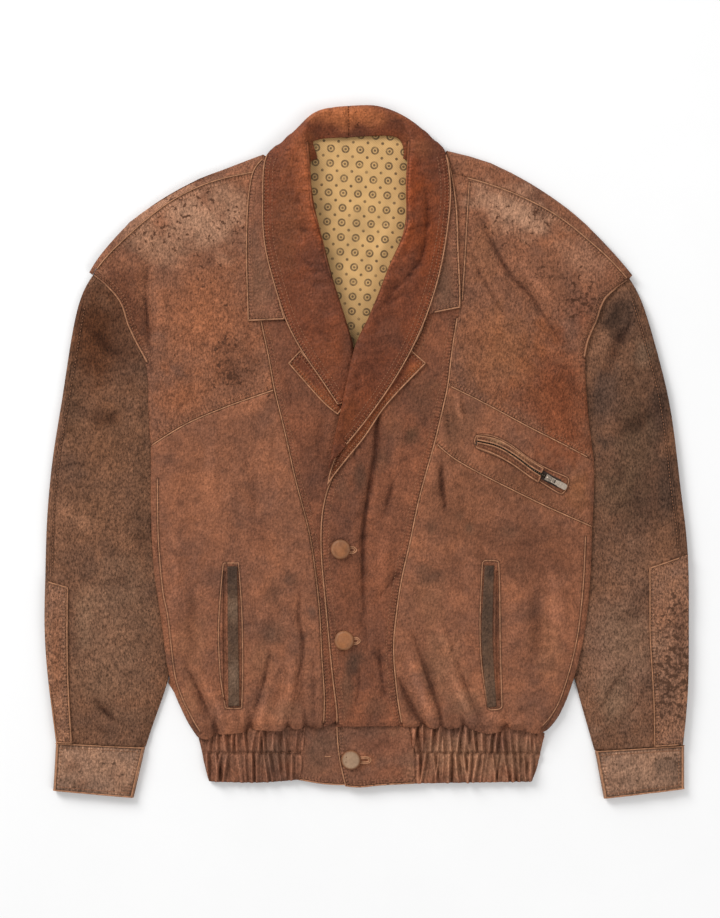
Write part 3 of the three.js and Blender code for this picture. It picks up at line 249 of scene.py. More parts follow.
FRONT_CREASES = [
    # the long crease down the left centre front, and its branches
    ([(18, 110), (12, 40), (10, 0), (4, -35), (-3, -87), (-4, -130), (-3, -173), (0, -205)], 5, -2.7),
    ([(0, -67), (-9, -73), (-17, -82)], 4, -1.3),
    ([(33, -20), (26, -48), (17, -78)], 6, -1.5),
    ([(39, -130), (24, -150), (8, -170)], 5, -1.6),
    ([(22, -88), (18, -125), (20, -160)], 8, 1.4),
    ([(14, -205), (16, -245), (24, -290)], 6, -1.4),
    ([(-12, -222), (-8, -255), (-14, -296)], 5, -1.2),
    ([(40, 40), (32, 5), (36, -40)], 9, 1.2),
    ([(-40, 60), (-52, 20), (-50, -30)], 8, -1.0),
    # left side front
    ([(84, -9), (84, -33), (87, -55), (89, -75)], 5, -2.7),
    ([(88, 62), (90, 45), (92, 24), (96, 8)], 3.5, -1.8),
    ([(95, 66), (97, 46), (100, 28)], 3, -1.2),
    ([(101, 66), (103, 47), (109, 27)], 4, 1.3),
    ([(107, 64), (108, 48), (116, 32)], 3.5, -1.0),
    ([(34, -250), (49, -283), (66, -312)], 6, -2.1),
    ([(50, -200), (65, -243), (81, -291), (86, -314)], 7, -2.1),
    ([(84, -180), (101, -235), (118, -280), (130, -308)], 7, -2.0),
    ([(78, -185), (95, -227), (106, -268)], 10, 1.7),
    ([(46, -220), (60, -262), (74, -306)], 8, 1.5),
    ([(100, -255), (114, -288), (124, -308)], 7, 1.3),
    ([(140, -292), (160, -300), (178, -296)], 7, 1.3),
    ([(150, -312), (166, -298), (182, -286)], 5, -1.5),
    ([(108, -90), (100, -135), (104, -180)], 11, -0.5),
    ([(182, -150), (190, -205), (178, -255)], 12, -1.2),
    ([(205, -110), (212, -165), (206, -220)], 10, 1.1),
    ([(158, -288), (154, -300), (152, -308)], 4, -1.4),
    # left chest: creases that run from the collar down to the armhole
    ([(116, 285), (137, 241), (160, 200), (185, 173), (212, 132), (240, 97)], 6, -1.7),
    ([(150, 232), (178, 205), (205, 172), (226, 140), (240, 108)], 7, 0.9),
    ([(110, 250), (124, 205), (150, 160), (170, 118)], 6, -1.0),
    ([(222, 110), (232, 70), (236, 30)], 8, -0.7),
    ([(205, 60), (216, 30), (226, 6)], 6, 1.0),
    ([(172, 40), (186, 28), (200, 16)], 4, -0.8),
    # right chest and side front
    ([(-243, 226), (-247, 185), (-245, 140), (-240, 90)], 6, -1.7),
    ([(-228, 195), (-231, 150), (-232, 105)], 9, 0.8),
    ([(-200, 250), (-170, 205), (-148, 170)], 8, -0.9),
    ([(-73, -140), (-76, -183), (-71, -219), (-79, -263), (-87, -314)], 6, -2.1),
    ([(-74, -215), (-84, -262), (-96, -312)], 8, 1.4),
    ([(-108, -222), (-115, -259), (-123, -285), (-132, -316)], 6, -2.2),
    ([(-106, -245), (-115, -278), (-122, -310)], 7, 1.4),
    ([(-204, -235), (-187, -269), (-168, -314)], 7, -1.8),
    ([(-190, -245), (-176, -272), (-156, -306)], 9, 1.2),
    ([(-200, -140), (-196, -190), (-200, -240)], 11, -1.2),
    ([(-222, -60), (-214, -120), (-212, -180)], 9, 1.0),
    ([(-130, 10), (-126, -40), (-132, -95)], 12, -1.0),
    ([(-172, 20), (-176, -30), (-170, -90)], 12, 0.9),
    ([(-146, -288), (-143, -300), (-142, -311)], 4, -1.3),
    ([(-58, -180), (-60, -230), (-58, -296)], 4, -1.0),
    *wrinkles(1, 90, (-235, -300), (-45, 60), 8, 22),
    *wrinkles(2, 110, (-15, -300), (245, 40), -10, 22),
    *wrinkles(3, 26, (-240, 90), (-120, 290), -30, 30),
    *wrinkles(4, 34, (100, 20), (240, 280), 30, 25),
]

SLEEVE_CREASES = [
    ([(-318, 150), (-292, 120), (-266, 96)], 9, -1.2),
    ([(-335, 60), (-300, 40), (-262, 34)], 12, -0.9),
    ([(-345, -60), (-305, -84), (-258, -70)], 13, 0.9),
    ([(-340, -130), (-300, -150), (-250, -140)], 11, -0.8),
    ([(-316, -262), (-292, -292), (-262, -312), (-246, -306)], 6, -1.3),
    ([(-322, -284), (-300, -310), (-268, -322)], 5, -1.0),
    ([(-256, -250), (-244, -280), (-248, -310)], 5, -0.9),
    ([(304, 160), (284, 128), (266, 80)], 9, -1.4),
    ([(330, 60), (300, 30), (272, 20)], 11, -1.0),
    ([(340, -70), (310, -100), (270, -92)], 12, 0.9),
    ([(330, -150), (298, -182), (262, -190)], 10, -0.9),
    ([(300, -230), (276, -262), (258, -296)], 6, -1.3),
    ([(316, -262), (296, -292), (268, -316)], 6, -1.1),
    ([(248, -262), (256, -290), (266, -318)], 4, -1.0),
    *wrinkles(5, 70, (-350, -320), (-230, 180), 60, 35),
    *wrinkles(6, 70, (235, -320), (350, 180), -60, 35),
]

# X of the collar's centre back seam
COLLAR_SEAM = -19.8

COLLAR_CREASES = [
    # the centre back seam, the rolled edge round the neck, and the hollow behind it
    ([(COLLAR_SEAM, 330), (COLLAR_SEAM, 370), (COLLAR_SEAM, 410)], 2.5, -1.3),
    ([(-36, 352), (-40, 372), (-37, 400)], 4, -1.0),
    ([(48, 360), (46, 293), (46, 255), (38, 233), (24, 205), (12, 169), (2, 143)], 5, 1.5),
    ([(58, 330), (68, 275), (63, 222), (47, 197), (24, 171), (10, 143)], 6, -1.5),
    ([(-68, 352), (-65, 309), (-62, 277), (-52, 241), (-46, 212)], 7, 1.2),
    ([(-44, 250), (-62, 246), (-84, 250)], 6, -0.8),
    ([(-34, 205), (-54, 200), (-78, 206)], 7, -0.8),
    ([(-20, 130), (-40, 134), (-60, 128)], 6, -0.7),
    ([(-16, 84), (2, 92), (18, 88)], 5, -0.7),
    ([(-24, 110), (-10, 78), (-22, 40)], 7, -0.8),
    *wrinkles(7, 36, (-95, 40), (-25, 350), 70, 25),
    *wrinkles(8, 36, (-20, 40), (85, 350), -70, 25),
    *wrinkles(9, 20, (-70, 350), (40, 385), 0, 12),
]

BACK_CREASES = [
    ([(-150, 240), (-120, 120), (-140, 0)], 16, -0.5),
    ([(150, 230), (118, 110), (140, -10)], 16, -0.5),
    ([(-60, 60), (-40, -60), (-70, -200)], 14, -0.5),
    ([(70, 20), (50, -90), (80, -220)], 14, -0.5),
    ([(0, 300), (6, 180), (-4, 60)], 12, -0.4),
    ([(-150, -120), (-140, -200), (-150, -270)], 12, -0.5),
    ([(150, -130), (160, -210), (150, -270)], 12, -0.5),
]

# Stains and rubbed places: centre, half width, half height, turn in degrees, colour, strength

FRONT_STAINS = [
    (-196, 262, 62, 30, -32, "#b68f78", 0.8),
    (-150, 280, 40, 22, -20, "#ad866f", 0.65),
    (-240, 236, 42, 22, -34, "#ab846d", 0.65),
    (-268, 165, 23, 62, 14, "#5c3625", 0.9),
    (-286, 190, 14, 18, 20, "#6d4533", 0.6),
    (-178, 150, 55, 60, 0, "#9d6141", 0.55),
    (-150, 95, 26, 30, 20, "#64402f", 0.65),
    (-205, 60, 34, 26, 30, "#a06240", 0.5),
    (-130, 190, 16, 36, 0, "#8a5f4b", 0.5),
    (-128, 130, 12, 26, 0, "#7a4c36", 0.4),
    (192, 266, 15, 12, 30, "#5d3c2e", 0.85),
    (203, 248, 14, 10, 40, "#6b4636", 0.7),
    (165, 270, 56, 22, -24, "#c0977f", 0.8),
    (240, 215, 30, 20, -40, "#a67a64", 0.65),
    (130, 225, 20, 40, 10, "#946449", 0.5),
    (200, 180, 40, 34, -40, "#8f5d44", 0.45),
    (238, 160, 14, 26, -10, "#7d5140", 0.5),
    (214, 58, 46, 84, 12, "#7c4022", 0.78),
    (152, 112, 48, 54, 0, "#98623f", 0.5),
    (168, 60, 44, 18, -26, "#7c4a34", 0.4),
    (120, 130, 20, 30, 0, "#8b583f", 0.4),
    (108, 32, 28, 32, -20, "#74503d", 0.6),
    (93, 30, 9, 34, 8, "#5d4232", 0.5),
    (178, -40, 56, 22, -26, "#6c4733", 0.7),
    (236, -40, 14, 24, 0, "#94623f", 0.5),
    (150, -15, 20, 12, -26, "#6d4a39", 0.4),
    (-190, -30, 30, 46, 0, "#8a5a42", 0.4),
    (-140, 20, 40, 24, 10, "#7c523f", 0.55),
    (-118, -90, 16, 24, 0, "#704634", 0.4),
    (-104, -158, 12, 20, 0, "#6a4938", 0.55),
    (-92, -180, 10, 12, 0, "#60453a", 0.55),
    (-108, -206, 13, 18, -20, "#544339", 0.65),
    (-61, -179, 5, 8, 0, "#54423a", 0.6),
    (-85, -143, 9, 7, 0, "#5d463a", 0.55),
    (-120, -235, 18, 26, 0, "#8f644c", 0.5),
    (-196, -215, 22, 40, 0, "#9a6a4f", 0.5),
    (-205, -285, 18, 18, 0, "#9c6f55", 0.5),
    (-90, -290, 20, 14, 0, "#8f6852", 0.45),
    (70, -170, 20, 40, 0, "#8c6148", 0.45),
    (104, -70, 44, 58, 0, "#6b4532", 0.55),
    (84, -30, 6, 22, 4, "#5a3a2b", 0.55),
    (76, -140, 13, 10, -20, "#4f3a30", 0.6),
    (63, -132, 9, 8, 0, "#5c4335", 0.5),
    (115, -85, 8, 9, 0, "#4f4034", 0.6),
    (105, -72, 6, 6, 0, "#5c4537", 0.5),
    (72, -86, 6, 12, 0, "#5c4334", 0.5),
    (130, -116, 12, 7, -10, "#6a4433", 0.5),
    (80, -240, 26, 34, 0, "#84614c", 0.55),
    (112, -280, 26, 18, 0, "#846450", 0.5),
    (186, -112, 60, 52, 0, "#6a4331", 0.7),
    (205, -220, 20, 40, 10, "#9a6a4e", 0.45),
    (186, -180, 12, 8, 0, "#6b4a3a", 0.5),
    (170, -130, 10, 8, 0, "#6e4c3b", 0.45),
    (160, -90, 12, 10, 0, "#70503f", 0.45),
    (40, -60, 20, 40, 0, "#865640", 0.4),
    (-8, -27, 9, 14, 10, "#4c3a30", 0.7),
    (16, -8, 12, 16, 0, "#5c4334", 0.5),
    (50, 20, 8, 10, 0, "#55402f", 0.6),
    (-28, -40, 10, 16, 0, "#57443a", 0.5),
    (62, 60, 22, 26, 0, "#5f4334", 0.45),
    (30, 30, 14, 22, 20, "#6a4836", 0.45),
    (-16, -240, 14, 14, 0, "#4b3a31", 0.75),
    (-22, -265, 10, 30, 0, "#5f493b", 0.6),
    (10, -285, 20, 14, 0, "#6b4c3b", 0.45),
    (-20, -150, 14, 28, 0, "#6c4330", 0.45),
    (-75, 20, 18, 46, 0, "#754835", 0.5),
    (-62, 75, 20, 26, 0, "#6f4a3a", 0.5),
    (-40, -10, 14, 30, 0, "#6a4232", 0.5),
    (-70, -130, 14, 40, 0, "#8a5a44", 0.4),
]

SLEEVE_STAINS = [
    (-305, 125, 44, 80, 10, "#4e2b15", 0.9),
    (-285, -215, 44, 86, 0, "#8f6c57", 0.55),
    (-270, 110, 16, 40, 10, "#5d4032", 0.6),
    (-330, 60, 16, 60, 4, "#5a4131", 0.6),
    (-292, 10, 36, 54, 0, "#724e37", 0.5),
    (-250, -40, 16, 70, 0, "#5e4434", 0.5),
    (-306, -70, 40, 44, 0, "#7a5640", 0.5),
    (-290, -160, 30, 40, 0, "#7e6251", 0.5),
    (-250, -190, 18, 50, 0, "#6d5242", 0.5),
    (-316, -180, 14, 40, 0, "#8c6f5b", 0.45),
    (-300, -255, 30, 30, 0, "#745a49", 0.4),
    (-262, -300, 26, 14, 20, "#6c5142", 0.5),
    (-347, -235, 9, 60, 0, "#825339", 0.55),
    (300, 90, 36, 90, -8, "#573f31", 0.55),
    (305, -45, 46, 76, -4, "#4c372d", 0.75),
    (282, -232, 46, 80, 0, "#917060", 0.6),
    (292, 150, 14, 34, -16, "#4a3a33", 0.75),
    (278, 152, 13, 24, -25, "#2f231d", 0.9),
    (261, 58, 14, 42, 0, "#3d2f29", 0.75),
    (330, 50, 14, 60, -6, "#41332d", 0.75),
    (270, 60, 16, 50, 0, "#54423a", 0.6),
    (310, 110, 14, 22, -14, "#806a5a", 0.55),
    (300, 0, 26, 60, 0, "#65503f", 0.45),
    (340, -40, 14, 50, 0, "#45362f", 0.7),
    (280, -50, 30, 30, 0, "#66503f", 0.5),
    (262, -130, 16, 60, 0, "#66493a", 0.5),
    (300, -130, 30, 40, 0, "#75594a", 0.45),
    (290, -210, 34, 40, 0, "#7c6250", 0.55),
    (276, -280, 22, 30, 0, "#75604f", 0.55),
    (324, -290, 24, 20, 0, "#6c4c3c", 0.5),
    (350, -200, 8, 40, 0, "#5c4034", 0.6),
    (330, -180, 14, 20, 0, "#9a6a50", 0.5),
]

CUFF_STAINS = [
    (-330, -352, 14, 12, 0, "#7b5846", 0.6),
    (-318, -372, 10, 8, 0, "#6b4938", 0.6),
    (-280, -362, 14, 10, 0, "#7e5c4a", 0.5),
    (-300, -345, 30, 10, -4, "#9a7865", 0.5),
    (-268, -378, 14, 6, -4, "#6f4e3e", 0.5),
    (300, -360, 24, 18, 0, "#8f7261", 0.6),
    (330, -350, 12, 14, 0, "#5c4a3f", 0.65),
    (346, -360, 10, 22, 0, "#4f4038", 0.6),
    (278, -368, 14, 10, 0, "#7d5f4f", 0.5),
]

COLLAR_STAINS = [
    (-20, 376, 64, 14, 0, "#bd744b", 0.9),
    (-66, 340, 10, 22, -20, "#a3684a", 0.6),
    (-72, 312, 16, 56, 6, "#9a5735", 0.75),
    (-52, 250, 9, 30, 10, "#8d4a2a", 0.7),
    (-90, 250, 20, 70, 0, "#71472f", 0.5),
    (-60, 170, 30, 40, 0, "#6f4331", 0.55),
    (-40, 110, 26, 30, 0, "#74452f", 0.5),
    (52, 300, 10, 46, 0, "#8a4526", 0.8),
    (48, 240, 10, 30, -10, "#84411f", 0.7),
    (68, 245, 18, 66, 0, "#84401c", 0.7),
    (60, 340, 20, 14, 0, "#7f5038", 0.6),
    (20, 170, 16, 34, -30, "#74402a", 0.5),
    (0, 100, 22, 36, -30, "#6f3f2c", 0.5),
    (-20, 40, 14, 30, -20, "#7d4527", 0.6),
    (28, 130, 20, 24, 0, "#5f4034", 0.45),
    (-20, 118, 10, 14, 0, "#58392d", 0.5),
]

UNDER_COLLAR_STAINS = [
    (-118, 190, 16, 50, 0, "#6f5443", 0.45),
    (86, 190, 14, 44, 0, "#5e4a3c", 0.6),
]

LAPEL_STAINS = [
    (-62, 66, 52, 12, -45, "#a5623c", 0.75),
    (10, 28, 90, 14, 51, "#93532f", 0.7),
    (58, 88, 14, 14, 0, "#a8623a", 0.6),
]

BAND_STAINS = [
    (-150, -340, 20, 16, 0, "#715244", 0.5),
    (-104, -340, 34, 20, 0, "#775c4e", 0.55),
    (-56, -345, 18, 20, 0, "#5b4539", 0.6),
    (-40, -325, 20, 12, 0, "#6b5143", 0.5),
    (20, -330, 40, 14, 0, "#7a4a37", 0.5),
    (30, -360, 30, 10, 0, "#8c573f", 0.6),
    (0, -345, 14, 10, 0, "#8c5334", 0.6),
    (105, -342, 56, 30, 0, "#a17a62", 0.7),
    (172, -342, 24, 30, 0, "#8f6d58", 0.6),
]

WELT_STAINS = [
    (-149, -132, 9, 14, 0, "#3f312a", 0.85),
    (-149, -175, 9, 16, 0, "#7d6858", 0.5),
    (-150, -208, 8, 12, 10, "#4b3c33", 0.6),
    (-148, -250, 9, 26, 0, "#806b5c", 0.55),
    (140, -132, 9, 16, 0, "#3d302a", 0.85),
    (140, -180, 8, 20, 0, "#54443a", 0.6),
    (142, -225, 8, 18, 0, "#654c3c", 0.55),
    (143, -265, 8, 16, 0, "#5d4a3e", 0.6),
]

# Dark specks: centre, reach, density

FRONT_SPECKS = [
    (-215, 280, 26, 0.8),
    (-185, 285, 30, 0.7),
    (-150, 255, 34, 0.75),
    (-190, 220, 40, 0.45),
    (-160, 190, 60, 0.4),
    (-200, 165, 50, 0.3),
    (-245, 240, 32, 0.65),
    (-218, 252, 36, 0.75),
    (-150, 88, 30, 1.0),
    (-158, 116, 22, 0.8),
    (-120, 150, 20, 0.5),
    (-210, 110, 40, 0.35),
    (-110, 60, 14, 0.6),
    (138, 264, 30, 0.55),
    (165, 235, 40, 0.5),
    (192, 262, 24, 0.8),
    (205, 200, 30, 0.6),
    (238, 165, 34, 0.85),
    (250, 205, 24, 0.5),
    (120, 200, 20, 0.4),
    (95, 292, 20, 0.4),
    (160, 120, 50, 0.2),
    (180, -30, 50, 0.2),
]
PATCH_SPECKS = [(350, -190, 60, 0.7), (340, -250, 70, 1.0), (335, -300, 30, 0.7), (-350, -200, 60, 0.25)]
CUFF_SPECKS = [(-330, -368, 26, 0.7), (-285, -372, 30, 0.5), (300, -372, 40, 0.4), (340, -345, 24, 0.6)]
COLLAR_SPECKS = [(-100, 330, 30, 0.5), (90, 330, 26, 0.4), (-20, 380, 50, 0.3)]


def composed(x, y, stains):
    """The stains laid over each other: their colour and how much of the ground they cover."""
    colour = np.zeros((len(x), 3))
    cover = np.zeros(len(x))
    wobble = 1 + 0.3 * noise(x, y, 17, 5) + 0.25 * noise(x, y, 7, 6)
    for cx, cy, half_w, half_h, turn, code, strength in stains:
        c, s = math.cos(math.radians(turn)), math.sin(math.radians(turn))
        u = (c * (x - cx) + s * (y - cy)) / half_w
        v = (c * (y - cy) - s * (x - cx)) / half_h
        alpha = strength * (1 - fade(np.hypot(u, v) * wobble, 0.15, 1.35))
        colour = colour * (1 - alpha)[:, None] + PIGMENT * linear(code) * alpha[:, None]
        cover = cover * (1 - alpha) + alpha
    return colour / np.maximum(cover, 1e-4)[:, None], cover


def speckled(x, y, clusters):
    """How thickly the dark specks lie at each point."""
    density = np.zeros(len(x))
    wobble = 1 + 0.35 * noise(x, y, 14, 8)
    for cx, cy, reach, amount in clusters:
        away = np.hypot(x - cx, y - cy) * wobble / reach
        density = np.maximum(density, amount * (1 - fade(away, 0.2, 1.25)))
    return density


# Materials


def add_node(tree, kind, settings, inputs):
    """Adds a node; an input is a value, or an output of another node to link."""
    node = tree.nodes.new(kind)
    for key, value in settings.items():
        setattr(node, key, value)
    for key, value in inputs.items():
        socket = next(s for s in node.inputs if s.identifier == key or s.name == key)
        if isinstance(value, bpy.types.NodeSocket):
            tree.links.new(value, socket)
        else:
            socket.default_value = value
    return node


def new_material(name):
    material = bpy.data.materials.new(name)
    material.use_nodes = True
    tree = material.node_tree
    tree.nodes.clear()
    return material, tree


def rgba(colour, gain=1.0):
    return (*[min(1.0, c * gain) for c in colour], 1.0)


# Widths on the hide, in metres: a patch of nap, a speck and a pebble of the grain, and its relief's depth
NAP_PATCH = 0.011
SPECK = 0.0062
PEBBLE = 0.0026
HIDE_RELIEF = 0.0009

# Widths on the lining, in metres: a gap in the print, a coarsened thread and a cloud of painted fold shade
PRINT_GAP = 0.004
SATIN_THREAD = 0.0042
SATIN_FOLD_SHADE = 0.03


def leather(name, colour, grain_contrast=0.35, cloud_contrast=0.2, rough=0.66, bump=0.7, edge_wear=0.8):
    """Napped hide with a dry hand: matt, clouded, pale where it is rubbed, and with painted shade and
    highlight in its folds and seams.
    """
    sizes = bpy.context.scene.jacket_sizes
    colours = bpy.context.scene.jacket_colours
    colour = PIGMENT * colour
    material, tree = new_material(name)
    place = add_node(tree, "ShaderNodeTexCoord", {}, {}).outputs["Object"]
    fields = {}
    for field in ("tone", "speck", "crease", "rim", "along", "pull"):
        fields[field] = add_node(tree, "ShaderNodeAttribute", {"attribute_name": field}, {}).outputs

    # broad clouds from tanning and use
    cloud = add_node(
        tree, "ShaderNodeTexNoise", {},
        {"Vector": place, "Scale": 1 / sizes.mottle, "Detail": 6.0, "Roughness": 0.62, "Distortion": 0.4},
    )
    cloud_amount = add_node(
        tree, "ShaderNodeMapRange", {}, {"Value": cloud.outputs["Fac"], "From Min": 0.3, "From Max": 0.7}
    )
    clouded = add_node(
        tree, "ShaderNodeMix", {"data_type": "RGBA"},
        {
            "Factor_Float": cloud_amount.outputs["Result"],
            "A_Color": rgba(0.82 * colour + 0.18 * colour.mean(), 1 - cloud_contrast),
            "B_Color": rgba(colour, 1 + cloud_contrast),
        },
    )
    # nap: one grain is drawn under two millimetres wide so that it shows, and drawn out along the hide
    streak = add_node(
        tree, "ShaderNodeVectorMath", {"operation": "MULTIPLY"},
        {"Vector": place, "Vector_001": (1.0, 0.5, 1.0)},
    )
    grain = add_node(
        tree, "ShaderNodeTexNoise", {},
        {"Vector": streak.outputs["Vector"], "Scale": 1 / sizes.grain, "Detail": 4.0, "Roughness": 0.7},
    )
    grain_amount = add_node(
        tree, "ShaderNodeMapRange", {},
        {
            "Value": grain.outputs["Fac"], "From Min": 0.35, "From Max": 0.65,
            "To Min": 1 - grain_contrast, "To Max": 1 + grain_contrast,
        },
    )
    # patches a fingertip wide, where the nap lies in other directions
    wrinkle = add_node(
        tree, "ShaderNodeTexNoise", {},
        {"Vector": place, "Scale": 1 / NAP_PATCH, "Detail": 5.0, "Roughness": 0.65, "Distortion": 0.8},
    )
    patch_amount = add_node(
        tree, "ShaderNodeMapRange", {},
        {"Value": wrinkle.outputs["Fac"], "From Min": 0.3, "From Max": 0.7, "To Min": 0.76, "To Max": 1.24},
    )
    # sewn edges: a groove beside the lap, and puckers across the rows of stitches, whose shade is also
    # painted into the colour
    rim = fields["rim"]["Fac"]
    wander = add_node(
        tree, "ShaderNodeMath", {"operation": "MULTIPLY_ADD"},
        {"Value": wrinkle.outputs["Fac"], "Value_001": 5.0, "Value_002": fields["along"]["Fac"]},
    )
    phase = add_node(
        tree, "ShaderNodeMath", {"operation": "MULTIPLY"},
        {"Value": wander.outputs["Value"], "Value_001": 2 * math.pi * MM / sizes.stitch_pitch},
    )
    wave = add_node(tree, "ShaderNodeMath", {"operation": "SINE"}, {"Value": phase.outputs["Value"]})
    band_start = add_node(tree, "ShaderNodeMapRange", {}, {"Value": rim, "From Min": 0.8, "From Max": GROOVE})
    band_end = add_node(tree, "ShaderNodeMapRange", {}, {"Value": rim, "From Min": 9.0, "From Max": 5.0})
    pucker = wave.outputs["Value"]
    for part in (fields["pull"]["Fac"], band_start.outputs["Result"], band_end.outputs["Result"]):
        pucker = add_node(
            tree, "ShaderNodeMath", {"operation": "MULTIPLY"}, {"Value": pucker, "Value_001": part}
        ).outputs["Value"]
    # painted highlight and shade: the colour is lightened and darkened with the puckers' wave
    painted_pucker_shading = add_node(
        tree, "ShaderNodeMath", {"operation": "MULTIPLY_ADD"},
        {"Value": pucker, "Value_001": 0.22, "Value_002": 1.0},
    )
    # painted shade: the colour is darkened in the groove beside the lap
    beside = add_node(tree, "ShaderNodeMath", {"operation": "SUBTRACT"}, {"Value": rim, "Value_001": GROOVE})
    off = add_node(tree, "ShaderNodeMath", {"operation": "ABSOLUTE"}, {"Value": beside.outputs["Value"]})
    painted_groove_shade = add_node(
        tree, "ShaderNodeMapRange", {},
        {"Value": off.outputs["Value"], "From Min": 1.1, "From Max": 0.2, "To Min": 1.0, "To Max": 0.55},
    )
    # the nap's grain and patches, times the painted shade of the puckers and of the groove
    nap_and_painted_shade = grain_amount.outputs["Result"]
    for part in (patch_amount.outputs["Result"], painted_pucker_shading.outputs["Value"], painted_groove_shade.outputs["Result"]):
        nap_and_painted_shade = add_node(
            tree, "ShaderNodeMath", {"operation": "MULTIPLY"}, {"Value": nap_and_painted_shade, "Value_001": part}
        ).outputs["Value"]
    # dark specks, thick where the piece says so
    speck_noise = add_node(
        tree, "ShaderNodeTexNoise", {},
        {"Vector": place, "Scale": 1 / SPECK, "Detail": 3.0, "Roughness": 0.6},
    )
    speck_level = add_node(
        tree, "ShaderNodeMath", {"operation": "MULTIPLY_ADD"},
        {"Value": fields["speck"]["Fac"], "Value_001": 0.22, "Value_002": speck_noise.outputs["Fac"]},
    )
    speck_amount = add_node(
        tree, "ShaderNodeMapRange", {},
        {"Value": speck_level.outputs["Value"], "From Min": 0.7, "From Max": 0.77, "To Max": 0.88},
    )
    # painted shade darkens the troughs of the folds, and their ridges are lightened, rubbed pale and with
    # painted highlight
    crease = fields["crease"]["Fac"]
    painted_crease_shade = add_node(
        tree, "ShaderNodeMapRange", {}, {"Value": crease, "From Min": -0.5, "From Max": -2.3, "To Max": 0.85}
    )
    # ridges rubbed pale, and lightened also as painted highlight on the tops of the folds
    rubbed_and_highlit_ridge = add_node(tree, "ShaderNodeMapRange", {}, {"Value": crease, "From Min": 0.5, "From Max": 2.6})
    # edges rubbed through to the pale core, with gaps
    rim_noise = add_node(
        tree, "ShaderNodeMath", {"operation": "MULTIPLY_ADD"},
        {"Value": wrinkle.outputs["Fac"], "Value_001": 3.0, "Value_002": rim},
    )
    rim_amount = add_node(
        tree, "ShaderNodeMapRange", {},
        {"Value": rim_noise.outputs["Value"], "From Min": 2.9, "From Max": 1.5, "To Max": edge_wear},
    )
    # laid over the clouded hide: stains, nap with the painted shade of the seams, specks, painted shade in
    # the fold troughs, ridges rubbed pale and with painted highlight, and worn edges
    worn = clouded.outputs[2]
    for blend, amount, over in (
        ("MIX", fields["tone"]["Alpha"], fields["tone"]["Color"]),
        ("MULTIPLY", 1.0, nap_and_painted_shade),
        ("MIX", speck_amount.outputs["Result"], rgba(colour, 0.3)),
        ("MULTIPLY", painted_crease_shade.outputs["Result"], (0.3, 0.25, 0.23, 1.0)),
        ("MULTIPLY", rubbed_and_highlit_ridge.outputs["Result"], (1.6, 1.62, 1.65, 1.0)),
        ("MIX", rim_amount.outputs["Result"], rgba(colours.edge, 0.95)),
    ):
        worn = add_node(
            tree, "ShaderNodeMix", {"data_type": "RGBA", "blend_type": blend},
            {"Factor_Float": amount, "A_Color": worn, "B_Color": over},
        ).outputs[2]
    # relief: pebbled grain, fine wrinkles and the puckers of the seams
    pebble = add_node(
        tree, "ShaderNodeTexVoronoi", {"feature": "SMOOTH_F1"},
        {"Vector": place, "Scale": 1 / PEBBLE, "Smoothness": 0.4},
    )
    hide_height = add_node(
        tree, "ShaderNodeMath", {"operation": "MULTIPLY_ADD"},
        {"Value": wrinkle.outputs["Fac"], "Value_001": 2.6, "Value_002": pebble.outputs["Distance"]},
    )
    height = add_node(
        tree, "ShaderNodeMath", {"operation": "MULTIPLY_ADD"},
        {"Value": pucker, "Value_001": 0.28, "Value_002": hide_height.outputs["Value"]},
    )
    relief = add_node(
        tree, "ShaderNodeBump", {},
        {"Strength": bump, "Distance": HIDE_RELIEF, "Height": height.outputs["Value"]},
    )
    gloss = add_node(
        tree, "ShaderNodeMapRange", {},
        {
            "Value": cloud.outputs["Fac"], "From Min": 0.3, "From Max": 0.7,
            "To Min": rough + 0.1, "To Max": rough - 0.08,
        },
    )
    surface = add_node(
        tree, "ShaderNodeBsdfPrincipled", {},
        {
            "Base Color": worn,
            "Roughness": gloss.outputs["Result"],
            "IOR": 1.5,
            "Specular IOR Level": 0.12,
            "Normal": relief.outputs["Normal"],
        },
    )
    add_node(tree, "ShaderNodeOutputMaterial", {}, {"Surface": surface.outputs["BSDF"]})
    return material


def plain_finish(name, colour, rough, metallic=0.0, spread=0.2, grain=0.003, bump=0.2, level=0.4):
    """A small fitting's finish: one colour with slight wear and unevenness."""
    material, tree = new_material(name)
    place = add_node(tree, "ShaderNodeTexCoord", {}, {}).outputs["Object"]
    cloud = add_node(
        tree, "ShaderNodeTexNoise", {},
        {"Vector": place, "Scale": 1 / grain, "Detail": 5.0, "Roughness": 0.65},
    )
    amount = add_node(
        tree, "ShaderNodeMapRange", {}, {"Value": cloud.outputs["Fac"], "From Min": 0.3, "From Max": 0.7}
    )
    tint = add_node(
        tree, "ShaderNodeMix", {"data_type": "RGBA"},
        {
            "Factor_Float": amount.outputs["Result"],
            "A_Color": rgba(colour, 1 - spread),
            "B_Color": rgba(colour, 1 + spread),
        },
    )
    relief = add_node(
        tree, "ShaderNodeBump", {}, {"Strength": bump, "Distance": 0.0003, "Height": cloud.outputs["Fac"]}
    )
    surface = add_node(
        tree, "ShaderNodeBsdfPrincipled", {},
        {
            "Base Color": tint.outputs[2],
            "Roughness": rough,
            "Metallic": metallic,
            "Specular IOR Level": level,
            "Normal": relief.outputs["Normal"],
        },
    )
    add_node(tree, "ShaderNodeOutputMaterial", {}, {"Surface": surface.outputs["BSDF"]})
    return material


